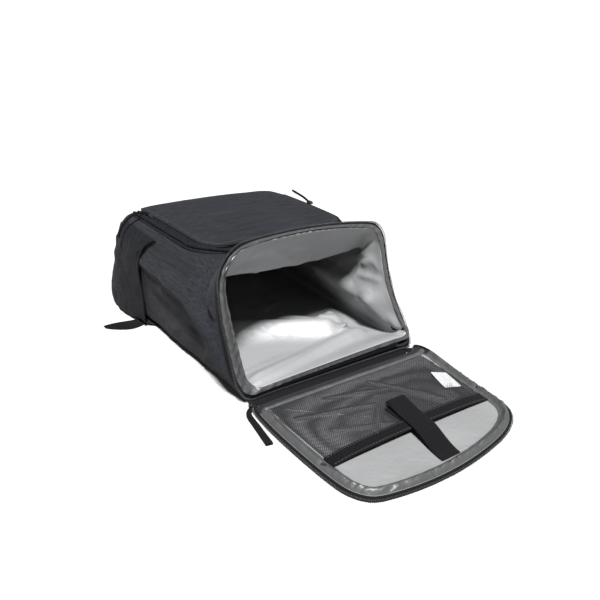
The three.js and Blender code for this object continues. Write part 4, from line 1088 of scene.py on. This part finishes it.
def dress_net():
    low, high = (Vector(c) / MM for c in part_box("lid_mesh"))
    tree = surface(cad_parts["lid_mesh"])
    width = max(-low.x, high.x) - NET_TUCK
    points, faces = net_strands(tree, width, low.y + 0.5, high.y - 0.5)
    piece = from_faces("lid_mesh_net", points, faces, NET)
    for polygon in piece.data.polygons:
        polygon.use_smooth = False
    shape = points_of(piece)
    rise = folds(shape, NET_FOLDS) + wrinkled(shape, "net")
    shape[:, 2] += np.maximum(0, rise)
    set_points(piece, shape)
    dress(piece, "lid_mesh", slot="mesh")
    return piece


def stitches(name, path, tree, material):
    """A row of stitches along a path of (x, y) places, lying on a surface."""
    points, faces = [], []
    line = evenly([Vector((x * MM, y * MM, 0)) for x, y in path], 400)
    total = sum((b - a).length for a, b in zip(line, line[1:])) / MM
    count = int(total / (STITCH_LONG + STITCH_GAP))
    line = evenly(line, 4 * count + 1)
    for i in range(count):
        places = [drop(tree, p.x / MM, p.y / MM, STITCH_LIFT) for p in line[4 * i:4 * i + 4]]
        if any(p is None for p in places):
            continue
        along = (places[-1] - places[0]).normalized()
        across = Vector((0, 0, 1)).cross(along).normalized() * STITCH_WIDE / 2 * MM
        add_stitch(points, faces, places, across)
    return from_faces(name, points, faces, material)


def add_stitch(points, faces, places, across):
    faces += bar_faces(len(points), len(places))
    low = Vector((0, 0, STITCH_FOOT * MM))
    for place, height in zip(places, STITCH_HEIGHTS):
        top = place + Vector((0, 0, height * MM))
        points.extend((place - across + low, place + across + low, top + across * 0.5, top - across * 0.5))


def lid_edge():
    """Points round the lid tape's outer edge, found by rays towards the lid's middle."""
    tree = surface(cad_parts["lid_tape"])
    centre = vector(LID_MIDDLE)
    result = []
    for i in range(LID_COIL_POINTS + 1):
        angle = math.radians(LID_COIL_FROM + LID_COIL_TURN * i / LID_COIL_POINTS)
        ray = Vector((math.cos(angle), math.sin(angle), 0))
        hit = tree.ray_cast(centre + ray * 0.5, -ray)
        if hit[0] is not None:
            result.append(hit[0] + ray * LID_COIL_OUT * MM)
    return result


def add_coil(name, path):
    """A zip's coil: a helix of fine wire along a path."""
    total = sum((b - a).length for a, b in zip(path, path[1:])) / MM
    line = evenly(path, int(total / COIL_PITCH) * COIL_SIDES + 1)
    points = []
    side = Vector((0, 0, 1))
    for i, place in enumerate(line):
        along = (line[min(len(line) - 1, i + 2)] - line[max(0, i - 2)]).normalized()
        side = (side - along * side.dot(along)).normalized()
        angle = 2 * math.pi * i / COIL_SIDES
        away = side * math.cos(angle) + along.cross(side) * math.sin(angle)
        points.append(place + away * COIL_RADIUS * MM)
    dress(tube(name, points, COIL_WIRE / 2 * MM, 4, COIL), slot="zip_tape")


def dress_zips():
    for node in ("mouth_tape", "pocket_zip", "lid_tape", "zip_end_left"):
        dress(softened(node, TAPE, 2), node, slot="zip_tape")
    rim = body_grid(-COIL_OUT)[0][0]
    path = [vector(p + MOUTH_FORWARD * COIL_FORWARD) for p in rim]
    add_coil("mouth_coil", path + path[:1])
    add_coil("lid_coil", lid_edge())


def dress_straps():
    for side in ("left", "right"):
        pad = softened(f"shoulder_strap_{side}", FABRIC_ALONG, 3)
        dress(pad, f"shoulder_strap_{side}", slot="outer_fabric")
        dress(softened(f"strap_webbing_{side}", WEBBING, 2), f"strap_webbing_{side}", slot="webbing")
        dress(add_buckle(side), f"strap_buckle_{side}", slot="buckle_plastic")
    dress(softened("strap_tail", WEBBING, 3), "strap_tail", slot="webbing")


def add_buckle(side):
    """A ladder buckle: a frame of two rails and three bars."""
    low, high = (Vector(c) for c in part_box(f"strap_buckle_{side}"))
    rail = BUCKLE_RAIL * MM
    thinner = BUCKLE_THINNER * MM
    boxes = []
    for x in (low.x, high.x - rail):
        boxes.append((Vector((x, low.y, low.z)), Vector((x + rail, high.y, high.z))))
    for share in BUCKLE_BARS:
        y = low.y + (high.y - low.y) * share
        start = Vector((low.x + rail, y, low.z + thinner))
        boxes.append((start, Vector((high.x - rail, y + BUCKLE_BAR * MM, high.z - thinner))))
    mesh = bmesh.new()
    for a, b in boxes:
        turn = Matrix.Translation((a + b) / 2) @ Matrix.Diagonal((*(b - a), 1))
        bmesh.ops.create_cube(mesh, size=1, matrix=turn)
    bmesh.ops.bevel(mesh, geom=list(mesh.edges), offset=BUCKLE_ROUND * MM, segments=2, affect="EDGES")
    data = bpy.data.meshes.new(f"buckle_{side}")
    mesh.to_mesh(data)
    mesh.free()
    return link(f"buckle_{side}", data, PLASTIC)


def dress_small():
    for node, material, levels, slot in (
        ("lid_strap", WEBBING, 3, "webbing"), ("loop_patch", WEBBING_ACROSS, 3, "webbing"),
        ("care_label", LABEL, 3, "label"), ("hinge_band", TAPE, 2, "zip_tape"),
        ("mouth_pull", WEBBING, 3, "webbing"),
    ):
        dress(softened(node, material, levels), node, slot=slot)
    dress(softened("hinge_tab", WEBBING, 3, sharp=100), "hinge_tab", slot="webbing")
    for node in ("pocket_slider_left", "pocket_slider_right", "mouth_slider"):
        dress(softened(node, METAL, 3), node, slot="zip_metal")


def dress_tape_ends():
    """Zip tape that turns round the hinge's two ends, from the mouth to the lid."""
    for side, route in (("left", TAPE_END_LEFT), ("right", TAPE_END_RIGHT)):
        piece = tube(f"hinge_tape_{side}", sampled(route, 24), TAPE_END_ROUND * MM, 12, TAPE)
        points = points_of(piece)
        points[:, 2] = TAPE_END_HIGH + (points[:, 2] - TAPE_END_HIGH) * TAPE_END_FLAT
        set_points(piece, points)
        dress(piece, slot="zip_tape")


def add_stage():
    far = FLOOR_REACH
    corners = [(-far, -far, 0), (far, -far, 0), (far, far, 0), (-far, far, 0)]
    from_faces("floor", corners, [(0, 1, 2, 3)], FLOOR)


def add_sun():
    """Broad parallel light, like a large softbox far away."""
    data = bpy.data.lights.new("key", "SUN")
    data.energy = SUN_STRENGTH
    data.angle = math.radians(SUN_ANGLE)
    light = add_object("key", data)
    light.rotation_euler = direction(SUN_AZIMUTH, SUN_ELEVATION).to_track_quat("Z", "Y").to_euler()


def add_world():
    world = bpy.data.worlds.new("studio")
    world.use_nodes = True
    background = world.node_tree.nodes["Background"]
    background.inputs["Color"].default_value = (1, 1, 1, 1)
    background.inputs["Strength"].default_value = SKY_STRENGTH
    bpy.context.scene.world = world


add_camera()
CORD = ribbed("cord_black", "DIAGONAL", ribs=900)
add_pull("left", PULL_LEFT, CORD)
add_pull("right", PULL_RIGHT, CORD)

FABRIC_ALONG = heather("heather_along", "y")
FABRIC_ACROSS = heather("heather_across", "x")
PLAIN = plain("plain_cloth")
FILM = film("silver_film", 0.9, FILM_SHADE)
# Same film as the cavity's, painted slightly darker: painted shade
LID_FILM_PAINTED_SHADE = film("silver_film_lid_painted_shade", 1.2, FILM_LID_PAINTED_SHADE)
# Same film as the cavity's, painted far darker: painted shade
GATHERED_FILM_PAINTED_SHADE = film("silver_film_gathered_painted_shade", 2.6, FILM_GATHERED_PAINTED_SHADE)
WEBBING = ribbed("webbing", "Y")
WEBBING_ACROSS = ribbed("webbing_across", "X")
TAPE = ribbed("zip_tape", "DIAGONAL", ribs=2600)
COIL = simple("zip_coil", (0.03, 0.03, 0.034), 0.42)
NET = simple("net_strand", (0.016, 0.016, 0.019), 0.6)
METAL = simple("zip_metal", (0.05, 0.05, 0.055), 0.32, Metallic=0.8)
PLASTIC = simple("buckle_plastic", (0.016, 0.016, 0.018), 0.42)
LABEL = simple("label_cloth", (0.33, 0.334, 0.338), 0.8)
THREAD_DARK = simple("thread_dark", (0.012, 0.012, 0.014), 0.8)
THREAD_GREY = simple("thread_grey", (0.035, 0.036, 0.04), 0.8)

FLOOR = simple("floor_white", (FLOOR_SHADE, FLOOR_SHADE, FLOOR_SHADE), 0.9)
bpy.context.scene.view_settings.view_transform = "Standard"
add_stage()
add_world()
add_sun()

dress_shell()
dress_liner()
dress_hem()
dress_facing()
PANEL = dress_pocket()
dress_side_pockets()
dress_lid()
dress_net()
dress_zips()
dress_straps()
dress_small()
NET_HEM = dress(softened("lid_mesh_hem", WEBBING_ACROSS, 3), "lid_mesh_hem", slot="webbing")
dress_seams(PANEL, NET_HEM)
dress_tape_ends()
